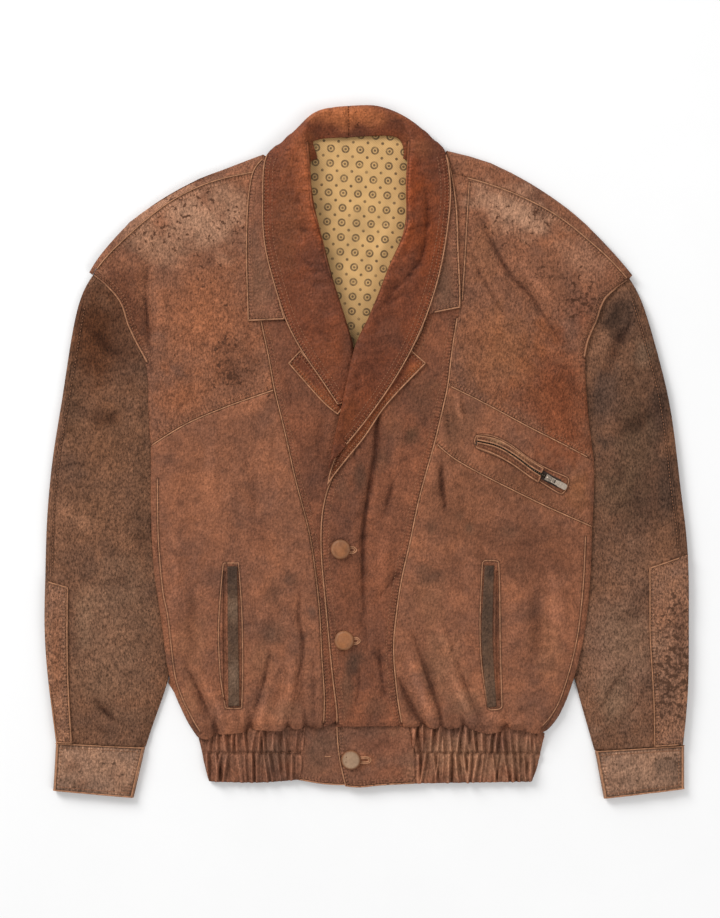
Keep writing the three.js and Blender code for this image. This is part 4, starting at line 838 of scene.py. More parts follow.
def printed_satin(name):
    """Rayon lining satin: a soft gold sheen, clouded with painted shade of soft folds, with rings and dots
    printed on a straight grid.
    """
    sizes = bpy.context.scene.jacket_sizes
    colours = bpy.context.scene.jacket_colours
    material, tree = new_material(name)
    place = add_node(tree, "ShaderNodeTexCoord", {}, {}).outputs["Object"]
    pitch = sizes.print_pitch
    # the cloth lies a little askew
    turned = add_node(tree, "ShaderNodeMapping", {}, {"Vector": place, "Rotation": (0, 0, math.radians(3))})
    figure = 0.0
    # rings, the dots in them and the dots between them, in parts of the pitch
    for shift, inner, outer in ((0.0, 0.17, 0.26), (0.0, -0.1, 0.075), (0.5, -0.1, 0.085)):
        moved = add_node(
            tree, "ShaderNodeVectorMath", {"operation": "MULTIPLY_ADD"},
            {
                "Vector": turned.outputs["Vector"],
                "Vector_001": (1 / pitch, 1 / pitch, 0.0),
                "Vector_002": (shift, shift, 0.0),
            },
        )
        cell = add_node(
            tree, "ShaderNodeVectorMath", {"operation": "FRACTION"}, {"Vector": moved.outputs["Vector"]}
        )
        offset = add_node(
            tree, "ShaderNodeVectorMath", {"operation": "SUBTRACT"},
            {"Vector": cell.outputs["Vector"], "Vector_001": (0.5, 0.5, 0.0)},
        )
        away = add_node(
            tree, "ShaderNodeVectorMath", {"operation": "LENGTH"}, {"Vector": offset.outputs["Vector"]}
        )
        ring = add_node(
            tree, "ShaderNodeMapRange", {},
            {"Value": away.outputs["Value"], "From Min": outer + 0.03, "From Max": outer},
        )
        hole = add_node(
            tree, "ShaderNodeMapRange", {},
            {"Value": away.outputs["Value"], "From Min": inner - 0.03, "From Max": inner},
        )
        both = add_node(
            tree, "ShaderNodeMath", {"operation": "MULTIPLY"},
            {"Value": ring.outputs["Result"], "Value_001": hole.outputs["Result"]},
        )
        figure = add_node(
            tree, "ShaderNodeMath", {"operation": "MAXIMUM"},
            {"Value": both.outputs["Value"], "Value_001": figure},
        ).outputs["Value"]
    worn_print = add_node(
        tree, "ShaderNodeTexNoise", {},
        {"Vector": place, "Scale": 1 / PRINT_GAP, "Detail": 4.0, "Roughness": 0.6},
    )
    ink = add_node(
        tree, "ShaderNodeMapRange", {},
        {
            "Value": worn_print.outputs["Fac"], "From Min": 0.35, "From Max": 0.55,
            "To Min": 0.45, "To Max": 0.85,
        },
    )
    print_amount = add_node(
        tree, "ShaderNodeMath", {"operation": "MULTIPLY"},
        {"Value": figure, "Value_001": ink.outputs["Result"]},
    )
    # threads of the satin, drawn twice as coarse as they are so that they show
    weave = add_node(
        tree, "ShaderNodeTexWave", {"bands_direction": "DIAGONAL"},
        {"Vector": place, "Scale": 1 / SATIN_THREAD, "Distortion": 1.5, "Detail": 2.0},
    )
    # painted shade and light of soft folds: broad clouds that darken and lighten the ground
    cloud = add_node(
        tree, "ShaderNodeTexNoise", {},
        {"Vector": place, "Scale": 1 / SATIN_FOLD_SHADE, "Detail": 4.0, "Roughness": 0.6},
    )
    weave_and_fold_shade = add_node(
        tree, "ShaderNodeMath", {"operation": "MULTIPLY_ADD"},
        {"Value": weave.outputs["Fac"], "Value_001": 0.25, "Value_002": cloud.outputs["Fac"]},
    )
    ground = add_node(
        tree, "ShaderNodeMix", {"data_type": "RGBA"},
        {
            "Factor_Float": weave_and_fold_shade.outputs["Value"],
            "A_Color": rgba(colours.lining, 0.5),
            "B_Color": rgba(colours.lining, 1.36),
        },
    )
    printed = add_node(
        tree, "ShaderNodeMix", {"data_type": "RGBA"},
        {
            "Factor_Float": print_amount.outputs["Value"],
            "A_Color": ground.outputs[2],
            "B_Color": rgba(colours.figure),
        },
    )
    relief = add_node(
        tree, "ShaderNodeBump", {}, {"Strength": 0.25, "Distance": 0.0002, "Height": weave.outputs["Fac"]}
    )
    surface = add_node(
        tree, "ShaderNodeBsdfPrincipled", {},
        {
            "Base Color": printed.outputs[2],
            "Roughness": 0.5,
            "Specular IOR Level": 0.4,
            "Sheen Weight": 0.15,
            "Normal": relief.outputs["Normal"],
        },
    )
    add_node(tree, "ShaderNodeOutputMaterial", {}, {"Surface": surface.outputs["BSDF"]})
    return material


FINISHES = {}


def finish_of(slot):
    """The material of a slot, made when it is first asked for."""
    if slot not in FINISHES:
        colours = bpy.context.scene.jacket_colours
        makers = {
            "chest_leather": lambda: leather("nubuck_calf_chest", colours.chest, 0.5, 0.26),
            "front_leather": lambda: leather("nubuck_calf_fronts", colours.front, 0.34, 0.28),
            "centre_leather": lambda: leather("nubuck_calf_centre", colours.centre, 0.34, 0.3),
            "sleeve_leather": lambda: leather("pigskin_suede_sleeves", colours.sleeve, 0.6, 0.28, 0.78, 0.6),
            "patch_leather": lambda: leather("nubuck_calf_patches", colours.patch, 0.7, 0.28),
            "cuff_leather": lambda: leather("nubuck_calf_cuffs", colours.cuff, 0.52, 0.28),
            "collar_leather": lambda: leather("waxed_calf_collar", colours.collar, 0.32, 0.26, 0.58),
            "under_collar": lambda: leather("waxed_calf_under_collar", colours.under_collar, 0.36, 0.28, 0.6),
            "waistband_leather": lambda: leather("nubuck_calf_waistband", colours.waistband, 0.36, 0.28),
            "welt_leather": lambda: leather("waxed_calf_welts", colours.welt, 0.34, 0.4, 0.6, 0.9, 0.4),
            "lining_cloth": lambda: printed_satin("rayon_satin_lining"),
            "zip_tape_cloth": lambda: plain_finish(
                "cotton_twill_tape", colours.tape, 0.9, spread=0.3, grain=0.0015, bump=0.5),
            "zip_metal": lambda: plain_finish(
                "nickel_plated_brass", colours.metal, 0.38, 1.0, spread=0.25, grain=0.002, bump=0.1),
            "teeth": lambda: plain_finish(
                "tarnished_brass_teeth", colours.teeth, 0.5, 1.0, spread=0.35, bump=0.1),
            "button_tan": lambda: leather("calf_covered_buttons", colours.button, 0.1, 0.14, 0.45, 0.15, 0.0),
            "thread": lambda: plain_finish(
                "waxed_polyester_thread", colours.thread, 0.65, spread=0.3, grain=0.004, level=0.2),
            "edge": lambda: plain_finish(
                "turned_calf_edge", colours.edge, 0.75, spread=0.45, grain=0.005, bump=0.4, level=0.15),
        }
        FINISHES[slot] = makers[slot]()
    return FINISHES[slot]


def everywhere(x, y):
    return True


def on_right_princess(x, y):
    line = np.interp(y, (-308, -200, -122, -51, 27, 68, 170), (-41, -44, -52, -68, -85, -96, -112))
    return y > -303 and x < line


def on_right_chest(x, y):
    return x < -126 and y > 203 + 0.45 * (x + 307) or y < 72 and x > -240


def on_left_chest(x, y):
    return x > 112 and y > 196 - 0.55 * (x - 290) or y < 76 and x < 248


def on_right_collar(x, y):
    return y < 332 and x < np.interp(y, (60, 100, 150, 200, 346), (-28, -45, -65, -80, -85))


# Sewn edges of the pieces: group, insets of the rows of stitches, and which part of the edge
SEAMS = {
    "right_chest": ("fronts", TWO_ROWS, on_right_chest),
    "left_chest": ("fronts", TWO_ROWS, on_left_chest),
    "left_pocket_band": ("fronts", TWO_ROWS, lambda x, y: y < 20 - 0.5 * (x - 77) and 79 < x < 252),
    "right_centre_front": ("fronts", (2.8, 7.2), on_right_princess),
    "left_centre_front": ("fronts", (3.2, 9.0), lambda x, y: -303 < y < 150),
    "zip_upper_lip": ("fronts", (), everywhere),
    "zip_lower_lip": ("fronts", (), everywhere),
    "right_shawl_collar": ("collar", (2.6, 6.6, 11.2), on_right_collar),
    "left_shawl_collar": (
        "collar", (2.6, 6.6, 11.2), lambda x, y: x > min(66, -4 + 0.347 * (y - 60)) and y < 332),
    "right_under_collar": ("collar", TWO_ROWS, lambda x, y: x < -104 or y < 166),
    "left_under_collar": ("collar", TWO_ROWS, lambda x, y: x > 76),
    "right_lapel": ("collar", (2.4, 5.2), everywhere),
    "left_lapel": ("collar", (2.4, 5.2), everywhere),
    "right_forearm_patch": ("sleeves", (2.6, 6.2), lambda x, y: x > -356),
    "left_forearm_patch": ("sleeves", (2.6, 6.2), lambda x, y: x < 350),
    "right_cuff": ("sleeves", (5.0,), everywhere),
    "left_cuff": ("sleeves", (5.0,), everywhere),
    "waistband_left_tab": ("waistband", (2.8, 6.4), lambda x, y: x < -22 or y < -366),
    "waistband_right_tab": ("waistband", (2.8,), lambda x, y: y < -366),
}

# The least pull of a crossing seam that has a turned edge, and that of a full lap
CORD_PULL = 0.3
LAP_PULL = 1.0

# Side seams, elbow seams, armholes, rubbed rolls and the frames of the pockets, which follow no cut edge:
# group, piece, pull and line
FREE_SEAMS = [
    ("fronts", "right_side_front", 0.4, [
        (-234, -30), (-233, -97), (-228, -155), (-222, -186), (-215, -246), (-206, -276), (-194, -300),
        (-186, -313)]),
    ("fronts", "left_side_front", 0.4, [
        (245, -95), (244, -121), (242, -155), (237, -200), (229, -238), (217, -276), (206, -296),
        (197, -306)]),
    ("fronts", "right_side_front", 0.35, [
        (-160.5, -128), (-160, -125), (-157, -124.5), (-147, -124.5), (-144, -125), (-143, -128),
        (-139.5, -180), (-138.5, -240), (-139.5, -282), (-140, -286), (-143, -287), (-154, -287),
        (-157, -286.5), (-158.5, -283), (-163.5, -251), (-165.5, -211), (-165, -183), (-162.5, -149),
        (-160.5, -128)]),
    ("fronts", "left_side_front", 0.35, [
        (129.5, -127), (130.5, -123), (134, -121.5), (144, -122), (147, -123), (148, -127), (149, -160),
        (149.5, -211), (150.5, -250), (151.5, -282), (150.5, -286.5), (147, -288), (140, -288.5),
        (137, -287.5), (135.5, -283), (129, -240), (127, -190), (129.5, -127)]),
    ("fronts", "left_pocket_band", 0.45, [
        (121, 11.5), (122, 16), (125, 18.5), (140, 17.8), (160, 8.5), (181.5, -7.2), (203, -19.4),
        (222, -27.5), (225.5, -30), (226, -34), (223, -42), (220.5, -45), (216, -46.5), (196, -34.4),
        (174, -20), (151.5, -7.2), (127, 3), (123, 5.5), (121, 11.5)]),
    ("fronts", "left_chest", 0.5, [(115, 302), (112.5, 260), (110, 215), (107, 170)]),
    ("worn", "left_shawl_collar", 0.6, [(47, 346), (44, 293), (44, 255), (36, 233), (22, 205), (10, 169)]),
    ("worn", "right_shawl_collar", 0.6, [
        (-66, 345), (-63, 309), (-61, 277), (-50, 241), (-46, 219), (-40, 196)]),
    ("sleeves", "right_upper_sleeve", 0.1, [(-316, 160), (-333, 58), (-344, -9), (-350, -76), (-352, -140)]),
    ("sleeves", "left_upper_sleeve", 0.25, [
        (298, 168), (311, 125), (328, 58), (336, 2), (341, -43), (347, -88), (349, -110)]),
    ("fronts", "right_chest", LAP_PULL, [
        (-305, 197), (-286, 181), (-274, 164), (-267, 142), (-257, 121), (-246, 101)]),
    ("fronts", "left_chest", LAP_PULL, [
        (244, 107), (248, 125), (257, 146), (264, 166), (272, 177), (292, 192)]),
]

# Rows of stitches that draw in the elastic
ELASTIC_ROWS = [
    ("waistband_right_elastic", [(-182, -338), (-140, -338), (-100, -338), (-76, -337)]),
    ("waistband_left_elastic", [(58, -338), (100, -338), (150, -338), (192, -338)]),
]


# Pieces


def new_object(name, mesh):
    obj = bpy.data.objects.new(name, mesh)
    bpy.context.scene.collection.objects.link(obj)
    return obj


def welded(node, slices=None):
    """A copy of a solid's faces, welded and paired into quads, and sliced across at every `slices` of Y."""
    bm = bmesh.new()
    bm.from_mesh(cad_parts[node].data)
    bmesh.ops.remove_doubles(bm, verts=bm.verts, dist=WELD)
    for shape in (0.7, math.pi):
        triangles = [f for f in bm.faces if len(f.verts) == 3]
        bmesh.ops.join_triangles(bm, faces=triangles, angle_face_threshold=1.0, angle_shape_threshold=shape)
    if slices:
        low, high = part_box(node)
        for level in np.arange(low.y + slices, high.y, slices):
            everything = bm.verts[:] + bm.edges[:] + bm.faces[:]
            bmesh.ops.bisect_plane(bm, geom=everything, plane_co=(0, level, 0), plane_no=(0, 1, 0))
    return bm


def smoothed(bm, name, level):
    """The shell as a fine smooth mesh, its cut edges kept."""
    layer = bm.edges.layers.float.new("crease_edge")
    for edge in bm.edges:
        if edge.calc_face_angle(0.0) > SHARP:
            edge[layer] = 1.0
    base = bpy.data.meshes.new(name + "_base")
    bm.to_mesh(base)
    bm.free()
    holder = new_object(name + "_base", base)
    smooth = holder.modifiers.new("Smooth", "SUBSURF")
    smooth.levels = level
    smooth.render_levels = level
    mesh = bpy.data.meshes.new_from_object(holder.evaluated_get(bpy.context.evaluated_depsgraph_get()))
    bpy.data.objects.remove(holder)
    mesh.name = name
    return mesh


def points_of(mesh):
    flat = np.zeros(len(mesh.vertices) * 3)
    mesh.vertices.foreach_get("co", flat)
    return flat.reshape(-1, 3) / MM


def normals_of(mesh):
    flat = np.zeros(len(mesh.vertices) * 3)
    mesh.vertices.foreach_get("normal", flat)
    return flat.reshape(-1, 3)


def set_points(mesh, points):
    mesh.vertices.foreach_set("co", (points * MM).astype(np.float32).ravel())
    mesh.update()


def rim_edges(mesh):
    """Pairs of vertices along the cut edges."""
    mark = np.zeros(len(mesh.edges), np.float32)
    mesh.attributes["crease_edge"].data.foreach_get("value", mark)
    pairs = np.zeros(len(mesh.edges) * 2, np.int32)
    mesh.edges.foreach_get("vertices", pairs)
    return pairs.reshape(-1, 2)[mark > 0.5]


def rim_chains(mesh):
    """Runs of vertices along the upper cut edges."""
    normals = normals_of(mesh)
    links = {}
    for a, b in rim_edges(mesh):
        if normals[a][2] > -0.2 and normals[b][2] > -0.2:
            links.setdefault(a, []).append(b)
            links.setdefault(b, []).append(a)
    seen = set()
    chains = []
    for start in [v for v in links if len(links[v]) == 1] + list(links):
        if start in seen:
            continue
        chain = [start]
        seen.add(start)
        while True:
            onward = [v for v in links[chain[-1]] if v not in seen]
            if not onward:
                break
            chain.append(onward[0])
            seen.add(onward[0])
        if len(chain) > 4:
            chains.append(chain)
    return chains


def seam_fields(points, lines):
    """Each point's distance to the nearest sewn line, its place along it and that line's pull."""
    marks = []
    for line, pull in lines:
        line = np.array(line)[:, :2]
        run = np.concatenate([[0], np.cumsum(np.linalg.norm(np.diff(line, axis=0), axis=1))])
        marks.append(np.column_stack([line, headings(line)[0], run, np.full(len(line), pull)]))
    if not marks:
        return np.full(len(points), FAR), np.zeros(len(points)), np.zeros(len(points))
    marks = np.vstack(marks)
    tree = tree_of(marks)
    found = [tree.find((p[0], p[1], 0))[1:] for p in points]
    index = np.array([f[0] for f in found])
    away = np.array([f[1] for f in found])
    near = marks[index]
    along = near[:, 4] + ((points[:, :2] - near[:, :2]) * near[:, 2:4]).sum(1)
    return np.minimum(away, FAR), along, near[:, 5]


def sewn_lines(node, mesh):
    """The edges of a piece that are sewn, and the seams that cross it."""
    points = points_of(mesh)
    lines = []
    if node in SEAMS:
        keep = SEAMS[node][2]
        for chain in rim_chains(mesh):
            rim = points[chain]
            runs = runs_where(rim, [keep(p[0], p[1]) for p in rim], 3)
            lines += [(run, LAP_PULL) for run in runs]
    for _, owner, pull, line in FREE_SEAMS:
        if owner == node:
            lines.append((smooth_line(line, 1.0), pull))
    return lines


def store(mesh, name, values, kind="FLOAT"):
    attribute = mesh.attributes.get(name) or mesh.attributes.new(name, kind, "POINT")
    key = "color" if kind == "FLOAT_COLOR" else "value"
    attribute.data.foreach_set(key, np.ascontiguousarray(values, np.float32).ravel())


def outer_area(mesh):
    """Area of one face of the shell, in square metres."""
    return 0.5 * sum(p.area for p in mesh.polygons)


def declare(mesh, node, slot, cut=None, finish=None):
    """The finished piece takes its finish, stands for its solid and moves with the jacket; its cut size is
    reckoned but not kept.
    """
    obj = new_object(node + "_piece", mesh)
    mesh.materials.clear()
    mesh.materials.append(finish_of(finish or slot))
    PIECES[node] = obj
    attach(obj, "jacket")
    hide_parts(node)
    area = outer_area(mesh)
    if cut is None:
        points = points_of(mesh) * MM
        flat = points[:, :2] - points[:, :2].mean(0)
        turn = np.linalg.eigh(flat.T @ flat)[1]
        reach = np.ptp(flat @ turn, axis=0)
        length = max(reach)
        cut = (max(min(reach), 1.02 * area / length), length)


# Below RESTS the shell lies still on the table, and above FREE it folds fully
RESTS = 1.7
FREE = 4.5


def cloth(
    node, slot, level, creases, stains, specks, rests_on,
    extra=None, cut=None, finish=None, move=None, slices=None,
):
    """One sewn piece: a thin shell on its solid, with its folds, its stains and its worn edges."""
    mesh = smoothed(welded(node, slices), node + "_piece", level)
    points = points_of(mesh)
    rim, along, pull = seam_fields(points, sewn_lines(node, mesh))
    if move is not None:
        points[:, :2] += move(*points.T)
    x, y, z = points.T
    depth = bpy.context.scene.jacket_sizes.crease
    relief = np.zeros(len(x))
    for line, width, rise in creases:
        relief += depth * fold(x, y, line, width, rise)
    # slack hide: low hills, broad and small
    relief += 0.4 * noise(x, y, 34, 1) + 0.25 * noise(x, y, 13, 2)
    # seams draw the leather down, and pucker it beside the stitches
    relief += 0.45 * pull * np.exp(-((rim / 8) ** 2)) * noise(x, y, 5, 3)
    if extra is not None:
        relief += extra(x, y, z)
    drawn = -0.9 * np.exp(-(((rim - GROOVE) / 1.3) ** 2)) + 0.3 * np.exp(-((rim / 1.1) ** 2))
    points[:, 2] = z + (relief + pull * drawn) * fade(z, RESTS, FREE)
    set_points(mesh, points)
    mesh.shade_smooth()
    mesh.set_sharp_from_angle(angle=SHARP)
    colour, cover = composed(x, y, stains)
    store(mesh, "tone", np.column_stack([colour, cover * 0.9]), "FLOAT_COLOR")
    store(mesh, "speck", speckled(x, y, specks))
    # the relief, which the hide's material turns into painted shade in the troughs and painted highlight on
    # the ridges
    store(mesh, "crease", np.clip(relief, -3, 3))
    # a weak seam is a fine line without a worn lap
    store(mesh, "rim", rim + 1.6 * (1 - pull))
    store(mesh, "along", along)
    store(mesh, "pull", pull)
    declare(mesh, node, slot, cut, finish)


# Where the hem is drawn up between two bulges
HEM_NOTCHES = (-169, -131, -88, -68, 64, 84, 109, 157)


def hem_gathers(x, y, z):
    """Short folds that run up from the gathered hem."""
    close = np.exp(-(((y + 318) / 40) ** 2))
    slant = x + 0.1 * (y + 310)
    rise = close * (1.1 * noise(slant, y * 0.12, 11, 11) + 0.6 * noise(slant, y * 0.2, 5, 12))
    for notch in HEM_NOTCHES:
        rise -= 2.0 * np.exp(-(((slant - notch) / 3.2) ** 2)) * np.exp(-(((y + 312) / 24) ** 2))
    # the hem's lower edge sinks, and the hide's material darkens it there as painted shade
    return rise - 1.1 * fade(y, -301, -311)


def hem_scallops(x, y, z):
    """The blouse bulges over the waistband between the gathers."""
    close = fade(y, -285, -308)
    drop = 0.7 * noise(x, 0 * y, 12, 13) - 2.0
    for bulge, wide, deep in ((132, 16, 1.8), (193, 11, 3.4)):
        drop -= deep * np.exp(-(((x - bulge) / wide) ** 2))
    for notch in HEM_NOTCHES:
        drop += 3.6 * np.exp(-(((x - notch) / 4.6) ** 2))
    return np.column_stack([0 * x, drop * close])


class JACKET_OT_fronts(bpy.types.Operator):
    """Build the chest, yokes, fronts and back"""

    bl_idname = "jacket.fronts"
    bl_label = "Fronts and back"

    def execute(self, context):
        worn = (FRONT_CREASES, FRONT_STAINS, FRONT_SPECKS, ["back_panel"])
        for side in ("right", "left"):
            cloth(f"{side}_chest", "chest_leather", 3, *worn)
            cloth(f"{side}_yoke", "chest_leather", 2, *worn)
            cloth(f"{side}_side_front", "front_leather", 3, *worn, hem_gathers, move=hem_scallops)
            cloth(f"{side}_centre_front", "centre_leather", 3, *worn, hem_gathers)
        cloth("left_pocket_band", "front_leather", 3, *worn)
        self.back("back_panel", "chest_leather")
        return {"FINISHED"}

    def back(self, node, slot):
        """The back lies on the table, so its creases only rise from it."""
        bm = bmesh.new()
        bm.from_mesh(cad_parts[node].data)
        bmesh.ops.remove_doubles(bm, verts=bm.verts, dist=WELD)
        low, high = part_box(node)
        step = 11 * MM
        for axis in (0, 1):
            normal = Vector((axis == 0, axis == 1, 0))
            for k in range(1, int((high[axis] - low[axis]) / step)):
                plane = normal * (low[axis] + k * step)
                everything = bm.verts[:] + bm.edges[:] + bm.faces[:]
                bmesh.ops.bisect_plane(bm, geom=everything, plane_co=plane, plane_no=normal)
        mesh = bpy.data.meshes.new(node + "_piece")
        bm.to_mesh(mesh)
        bm.free()
        points = points_of(mesh)
        x, y, z = points.T
        folds = np.zeros(len(x))
        for line, width, rise in BACK_CREASES:
            folds += fold(x, y, line, width, rise)
        # a centre seam, as on such a back
        folds += -0.35 * np.exp(-(((x + 4) / 2.5) ** 2)) * (y < 330)
        lowest = z < 0.8
        points[lowest, 2] = np.clip(-folds[lowest], 0, 0.6)
        set_points(mesh, points)
        store(mesh, "tone", np.zeros((len(x), 4)), "FLOAT_COLOR")
        # the folds, which the hide's material turns into painted shade in the troughs
        store(mesh, "crease", folds)
        store(mesh, "rim", np.full(len(x), FAR))
        for field in ("speck", "along", "pull"):
            store(mesh, field, 0 * x)
        declare(mesh, node, slot)


# A cuff's strip unrolled, in metres
CUFF_CUT = (0.206, 0.058)


class JACKET_OT_sleeves(bpy.types.Operator):
    """Build the sleeves, forearm patches and cuffs"""

    bl_idname = "jacket.sleeves"
    bl_label = "Sleeves"

    def execute(self, context):
        for side in ("right", "left"):
            under = f"{side}_under_sleeve"
            cloth(under, "sleeve_leather", 2, [], SLEEVE_STAINS, [], [])
            upper = f"{side}_upper_sleeve"
            cloth(upper, "sleeve_leather", 3, SLEEVE_CREASES, SLEEVE_STAINS, [], [under], self.crumple)
            patch = f"{side}_forearm_patch"
            cloth(
                patch, "patch_leather", 3, SLEEVE_CREASES, SLEEVE_STAINS, PATCH_SPECKS, [upper], self.crumple
            )
            cuff = f"{side}_cuff"
            cloth(cuff, "cuff_leather", 3, [], CUFF_STAINS, CUFF_SPECKS, [], self.limp, CUFF_CUT)
        return {"FINISHED"}

    def crumple(self, x, y, z):
        return 0.6 * noise(x, y, 22, 21) + 0.4 * noise(x, y, 9, 22)

    def limp(self, x, y, z):
        return 0.3 * noise(x, y, 12, 23) + 0.2 * noise(x, y, 5, 24)


class JACKET_OT_collar(bpy.types.Operator):
    """Build the shawl collar, under-collars and lapels"""

    bl_idname = "jacket.collar"
    bl_label = "Collar"

    def execute(self, context):
        for side in ("right", "left"):
            under = f"{side}_under_collar"
            cloth(
                under, "collar_leather", 3, [], UNDER_COLLAR_STAINS, COLLAR_SPECKS, [f"{side}_chest"],
                finish="under_collar",
            )
            lapel = f"{side}_lapel"
            cloth(lapel, "collar_leather", 3, [], LAPEL_STAINS, [], [f"{side}_centre_front"], self.rope)
            shawl = f"{side}_shawl_collar"
            cloth(
                shawl, "collar_leather", 3, COLLAR_CREASES, COLLAR_STAINS, COLLAR_SPECKS, [under, lapel],
                self.roll, move=self.join,
            )
        return {"FINISHED"}

    def join(self, x, y, z):
        """The halves meet at the centre back seam."""
        off = x - COLLAR_SEAM
        reach = -0.3 * np.sign(off) * np.exp(-((off / 3) ** 2)) * (y > 320)
        return np.column_stack([reach, 0 * y])

    def rope(self, x, y, z):
        return 0.35 * noise(x, y, 4, 31)

    def roll(self, x, y, z):
        """Cross wrinkles on the rolled edge, and a limp fall."""
        rolled = fade(z, 17, 21)
        return 0.5 * noise(x, y * 1.6, 16, 32) + (0.25 + 0.7 * rolled) * noise(x * 0.5, y * 1.3, 5, 33)


class JACKET_OT_waistband(bpy.types.Operator):
    """Build the gathered waistband and its tabs"""

    bl_idname = "jacket.waistband"
    bl_label = "Waistband"

    def execute(self, context):
        cloth("waistband_back", "waistband_leather", 3, [], [], [], [])
        for side in ("right", "left"):
            cloth(
                f"waistband_{side}_elastic", "waistband_leather", 2, [], BAND_STAINS, [], ["waistband_back"],
                self.gathers, slices=6.6 * MM, move=self.meet,
            )
            cloth(
                f"waistband_{side}_tab", "waistband_leather", 3, [], BAND_STAINS, [], ["waistband_back"],
                self.limp,
            )
        return {"FINISHED"}

    def meet(self, x, y, z):
        """The elastics run on under the tabs."""
        reach = np.where(x > 0, -2.5 * fade(x, 66, 56), 2.5 * fade(x, -84, -74))
        return np.column_stack([reach, 0 * y])

    def gathers(self, x, y, z):
        """Uneven folds above and below the elastic's middle row of stitches, which draws them in."""
        above = fade(y, -339.5, -336)
        row = np.exp(-(((y + 337.7) / 2.0) ** 2))
        halves = []
        for seed in (41, 43):
            dice = np.random.default_rng(seed)
            ribs = np.zeros(len(x))
            centre = -195.0
            while centre < 210:
                width = dice.uniform(1.1, 2.1)
                slant = dice.uniform(-0.18, 0.18)
                rise = dice.uniform(1.3, 2.8)
                off = (x - centre - slant * (y + 338)) / width
                crest = np.exp(-(off**2)) + 0.35 * np.exp(-((off / 0.45) ** 2))
                ribs += rise * (crest - 0.6 * np.exp(-((off - 2.0) ** 2)))
                centre += dice.uniform(5.0, 10.5)
            halves.append(ribs)
        return (above * halves[0] + (1 - above) * halves[1]) * (1 - 0.55 * row) - 1.5 * row

    def limp(self, x, y, z):
        return 0.5 * noise(x, y, 15, 45) + 0.3 * noise(x, y, 6, 46)


class JACKET_OT_pockets(bpy.types.Operator):
    """Build the pocket welts and the facings behind their slits"""

    bl_idname = "jacket.pockets"
    bl_label = "Hand pockets"

    def execute(self, context):
        for side in ("right", "left"):
            facing = f"{side}_pocket_facing"
            cloth(facing, "welt_leather", 2, [], [], [], [], finish="front_leather")
            cloth(f"{side}_pocket_welt", "welt_leather", 3, [], WELT_STAINS, [], [facing], self.rub)
        return {"FINISHED"}

    def rub(self, x, y, z):
        return 0.3 * noise(x, y, 7, 51)


class JACKET_OT_lining(bpy.types.Operator):
    """Build the lining behind the neck"""

    bl_idname = "jacket.lining"
    bl_label = "Lining"

    def execute(self, context):
        cloth("back_neck_lining", "lining_cloth", 3, self.folds(), [], [], ["back_panel"], move=self.tuck)
        return {"FINISHED"}

    def tuck(self, x, y, z):
        """The cloth runs up under the collar."""
        return np.column_stack([0 * x, 7 * fade(y, 325, 349)])

    def folds(self):
        """Soft pleats of the loose cloth."""
        return [
            ([(-62, 310), (-44, 318), (-28, 338)], 6, -0.9),
            ([(-22, 310), (-14, 290), (-18, 262)], 4, -0.8),
            ([(38, 300), (20, 262), (10, 220)], 5, -0.9),
            ([(26, 250), (12, 215), (0, 180)], 5, 0.7),
            ([(-56, 330), (-44, 270), (-36, 200)], 6, 0.7),
            ([(30, 340), (36, 290), (28, 240)], 6, 0.8),
            ([(-10, 345), (-14, 280), (-8, 190)], 8, 0.6),
            ([(12, 300), (8, 240), (-4, 170)], 7, -0.6),
        ]


# Sewing: rows of stitches and turned edges, made along lines that lie on the pieces


# Lines are dropped from this height, in metres
ABOVE = 0.1


def lay_on(node, lines, lift):
    """The lines dropped onto a piece and lifted a little, in metres."""
    mesh = PIECES[node].data
    faces = [tuple(p.vertices) for p in mesh.polygons]
    tree = BVHTree.FromPolygons([v.co for v in mesh.vertices], faces)
    laid = []
    for line in lines:
        spots = []
        for x, y in line:
            hit = tree.ray_cast(Vector((x * MM, y * MM, ABOVE)), Vector((0, 0, -1)))[0]
            spots.append((x * MM, y * MM, hit.z + lift) if hit else None)
        laid += runs_where(spots, spots, 2)
    return laid


def rim_runs(node, inset, keep):
    """Lines along a piece's upper cut edge, drawn in by `inset`, where keep(x, y) is true."""
    mesh = PIECES[node].data
    points = points_of(mesh)
    cut = tree_of(points[np.unique(rim_edges(mesh))])
    inside = tree_of(points)
    runs = []
    for chain in rim_chains(mesh):
        line = points[chain][:, :2]
        line = smooth_line(line[:: max(1, len(line) // 200)], 2.0)
        side = headings(line)[1]
        # which side of the edge the piece lies on
        score = 0.0
        for p, n in zip(line[::7], 3.0 * side[::7]):
            plus = inside.find((p[0] + n[0], p[1] + n[1], 0))[2]
            minus = inside.find((p[0] - n[0], p[1] - n[1], 0))[2]
            score += minus - plus
        drawn = line + side * inset * (1 if score > 0 else -1)
        wanted = []
        for p, edge in zip(drawn, line):
            clear = inset < 1 or cut.find((p[0], p[1], 0))[2] > 0.85 * inset
            wanted.append(clear and keep(edge[0], edge[1]))
        runs += runs_where([tuple(p) for p in drawn], wanted, 4)
    return runs


def polylines(name, lines):
    mesh = bpy.data.meshes.new(name)
    verts = []
    edges = []
    for line in lines:
        first = len(verts)
        verts += [tuple(p) for p in line]
        edges += [(first + k, first + k + 1) for k in range(len(line) - 1)]
    mesh.from_pydata(verts, edges, [])
    return new_object(name, mesh)


def node_group(name, inputs):
    """An empty geometry tree with named inputs, and the identifiers that set them."""
    tree = bpy.data.node_groups.new(name, "GeometryNodeTree")
    tree.interface.new_socket("Geometry", in_out="INPUT", socket_type="NodeSocketGeometry")
    tree.interface.new_socket("Geometry", in_out="OUTPUT", socket_type="NodeSocketGeometry")
    keys = {}
    for label, kind in inputs:
        keys[label] = tree.interface.new_socket(label, in_out="INPUT", socket_type=kind).identifier
    return tree, keys


